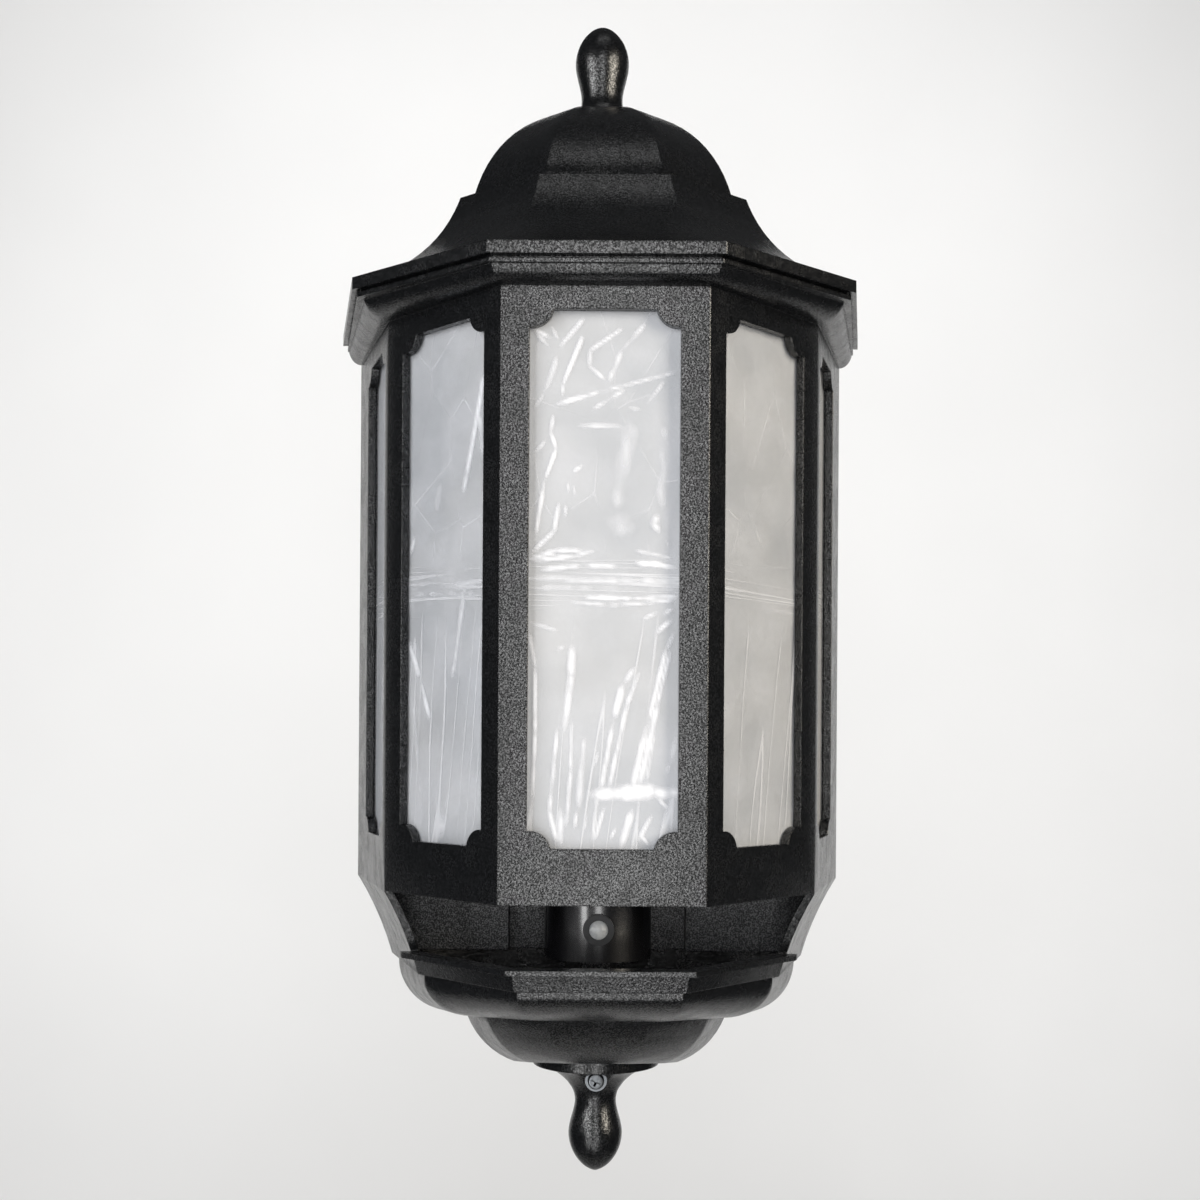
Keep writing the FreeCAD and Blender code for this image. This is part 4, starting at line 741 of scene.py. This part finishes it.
class LANTERN_OT_small_screws(bpy.types.Operator):
    """Slotted and crossed screws of the terminal block and bracket, set out by geometry nodes"""
    bl_idname = "lantern.small_screws"
    bl_label = "Small screws"

    def execute(self, context):
        tree = scatter_tree()
        bracket_thick = 1.5 * MM
        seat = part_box("lampholder_bracket")[1].y - bracket_thick
        for node, crossed in (("bracket_screws", True), ("block_screws", False), ("clamp_screws", False)):
            boxes = islands(node)
            low, high = boxes[0]
            head = (high.x - low.x) / 2
            slot = [(head * 0.8, head * 0.16, 0.7 * MM)]
            if crossed:
                slot.append((head * 0.16, head * 0.8, 0.7 * MM))
                form = screw(head, seat - low.y, head * 0.53, high.y - low.y, slot)
            else:
                form = screw(head, (high.y - low.y) * 0.9, head * 0.9, high.y - low.y, slot)
            pattern = bpy.data.objects.new(node + " pattern", finished(form, node + " pattern"))
            points = bpy.data.meshes.new(node + " points")
            points.from_pydata([((a.x + b.x) / 2, a.y, (a.z + b.z) / 2) for a, b in boxes], [], [])
            carrier = bpy.data.objects.new(node + " carrier", points)
            for piece in (pattern, carrier):
                context.scene.collection.objects.link(piece)
            nodes = carrier.modifiers.new("Screws", "NODES")
            nodes.node_group = tree
            inputs = {s.name: s.identifier for s in tree.interface.items_tree if s.in_out == "INPUT"}
            nodes[inputs["Screw"]] = pattern
            nodes[inputs["Material"]] = look("zinc")
            context.view_layer.update()
            made = bpy.data.meshes.new_from_object(carrier.evaluated_get(context.evaluated_depsgraph_get()))
            for piece in (pattern, carrier):
                bpy.data.objects.remove(piece)
            made.name = node + "_set"
            show(made, node + "_set", "zinc", node)
        return {"FINISHED"}


def lamp(name, place, target, size, power, colour):
    """Soft lamp of a width and a height that looks at a point."""
    data = bpy.data.lights.new(name, "AREA")
    data.shape = "RECTANGLE"
    data.size, data.size_y = size
    data.energy = power
    data.color = rgb(colour)[:3]
    made = bpy.data.objects.new(name, data)
    made.location = place
    made.rotation_euler = (Vector(target) - Vector(place)).to_track_quat("-Z", "Y").to_euler()
    bpy.context.scene.collection.objects.link(made)
    return made


def sweep_mesh(floor, tall, back, front, half, bend):
    """Floor that curves up into a backdrop of a height."""
    line = [(front, floor)]
    steps = 16
    for i in range(steps + 1):
        turn = math.radians(90 * i / steps)
        line.append((back - bend + bend * math.sin(turn), floor + bend - bend * math.cos(turn)))
    line.append((back, floor + tall))
    form = bmesh.new()
    sides = [[form.verts.new((x, y, z)) for y, z in line] for x in (-half, half)]
    for i in range(len(line) - 1):
        form.faces.new((sides[0][i], sides[1][i], sides[1][i + 1], sides[0][i + 1]))
    return finished(form, "paper_sweep")


class LANTERN_OT_stage(bpy.types.Operator):
    """Pale sweep, soft lamps and the camera"""
    bl_idname = "lantern.stage"
    bl_label = "Stage"

    def execute(self, context):
        scene = context.scene
        settings = scene.lantern_stage
        mesh = sweep_mesh(floor=CAD_BOX[0][2] - 1.7, tall=2.8, back=1.3, front=-0.5, half=1.6, bend=0.5)
        mesh.materials.append(tinted("matt paper sweep", "#f1f1f1", "#ededed", 300 * MM, 0.8, 0.02 * MM))
        sweep = bpy.data.objects.new("paper_sweep", mesh)
        scene.collection.objects.link(sweep)
        lamps = [
            lamp("soft flash", (0.01, -0.64, -0.22), (0.01, -0.05, -0.22), (0.13, 1.36), settings.flash, "#ffffff"),
            lamp("strip", (-0.33, -0.6, -0.2), (0, -0.05, -0.1), (0.12, 0.9), settings.strip, "#ffffff"),
            lamp("top lamp", (0.05, -0.25, 0.9), (0, -0.05, 0.1), (0.5, 0.2), settings.top, "#ffffff"),
            lamp("upper paper lamp", (0, 0.45, 0.9), (0, 1.3, 0.6), (1.4, 0.3), settings.paper, "#ffffff"),
        ]
        for name, way, tone in (("left", -1, "#ffffff"), ("right", 1, "#fff6e6")):
            lamps += [
                lamp(name + " lamp", (way * 0.64, -0.54, 0.22), (0, -0.05, 0), (0.35, 0.5),
                     getattr(settings, name), tone),
                lamp(name + " paper lamp", (way * 0.75, 0.35, -0.15), (way * 0.6, 1.3, -0.15), (0.4, 1.4),
                     settings.paper, "#ffffff"),
            ]
        view = bpy.data.cameras.new("view")
        view.sensor_width = 36.0
        view.lens = settings.lens
        view.shift_x, view.shift_y = settings.shift
        eye = bpy.data.objects.new("view", view)
        eye.location = settings.eye
        eye.rotation_euler = Matrix.Rotation(math.radians(90), 3, "X").to_euler()
        eye.rotation_euler = (Matrix.Rotation(settings.roll, 3, "Y") @ eye.rotation_euler.to_matrix()).to_euler()
        scene.collection.objects.link(eye)
        scene.camera = eye
        world = bpy.data.worlds.new("soft room")
        world.use_nodes = True
        world.node_tree.nodes["Background"].inputs["Color"].default_value = rgb("#eef0f4")
        world.node_tree.nodes["Background"].inputs["Strength"].default_value = settings.room
        scene.world = world
        scene.view_settings.view_transform = "Standard"
        return {"FINISHED"}


class LANTERN_PT_panel(bpy.types.Panel):
    """Settings and steps of the lantern"""
    bl_label = "Half lantern"
    bl_space_type = "VIEW_3D"
    bl_region_type = "UI"
    bl_category = "Lantern"

    def draw(self, context):
        for group in GROUPS:
            settings = getattr(context.scene, group)
            for key in settings.__annotations__:
                self.layout.prop(settings, key)
        for step in STEPS:
            self.layout.operator(step.bl_idname)


GROUPS = {
    "lantern_body": LanternBodySettings,
    "lantern_film": LanternFilmSettings,
    "lantern_stage": LanternStageSettings,
}
STEPS = [
    LANTERN_OT_mouldings, LANTERN_OT_inner_pieces, LANTERN_OT_film, LANTERN_OT_retaining_screw,
    LANTERN_OT_small_screws, LANTERN_OT_stage,
]


def register():
    for kind in [*GROUPS.values(), *STEPS, LANTERN_PT_panel]:
        bpy.utils.register_class(kind)
    for name, kind in GROUPS.items():
        setattr(bpy.types.Scene, name, bpy.props.PointerProperty(type=kind))


def unregister():
    for name in GROUPS:
        delattr(bpy.types.Scene, name)
    for kind in reversed([*GROUPS.values(), *STEPS, LANTERN_PT_panel]):
        bpy.utils.unregister_class(kind)


def main():
    register()
    bpy.ops.lantern.mouldings()
    bpy.ops.lantern.inner_pieces()
    bpy.ops.lantern.film()
    bpy.ops.lantern.retaining_screw()
    bpy.ops.lantern.small_screws()
    bpy.ops.lantern.stage()


if __name__ == "__main__":
    main()
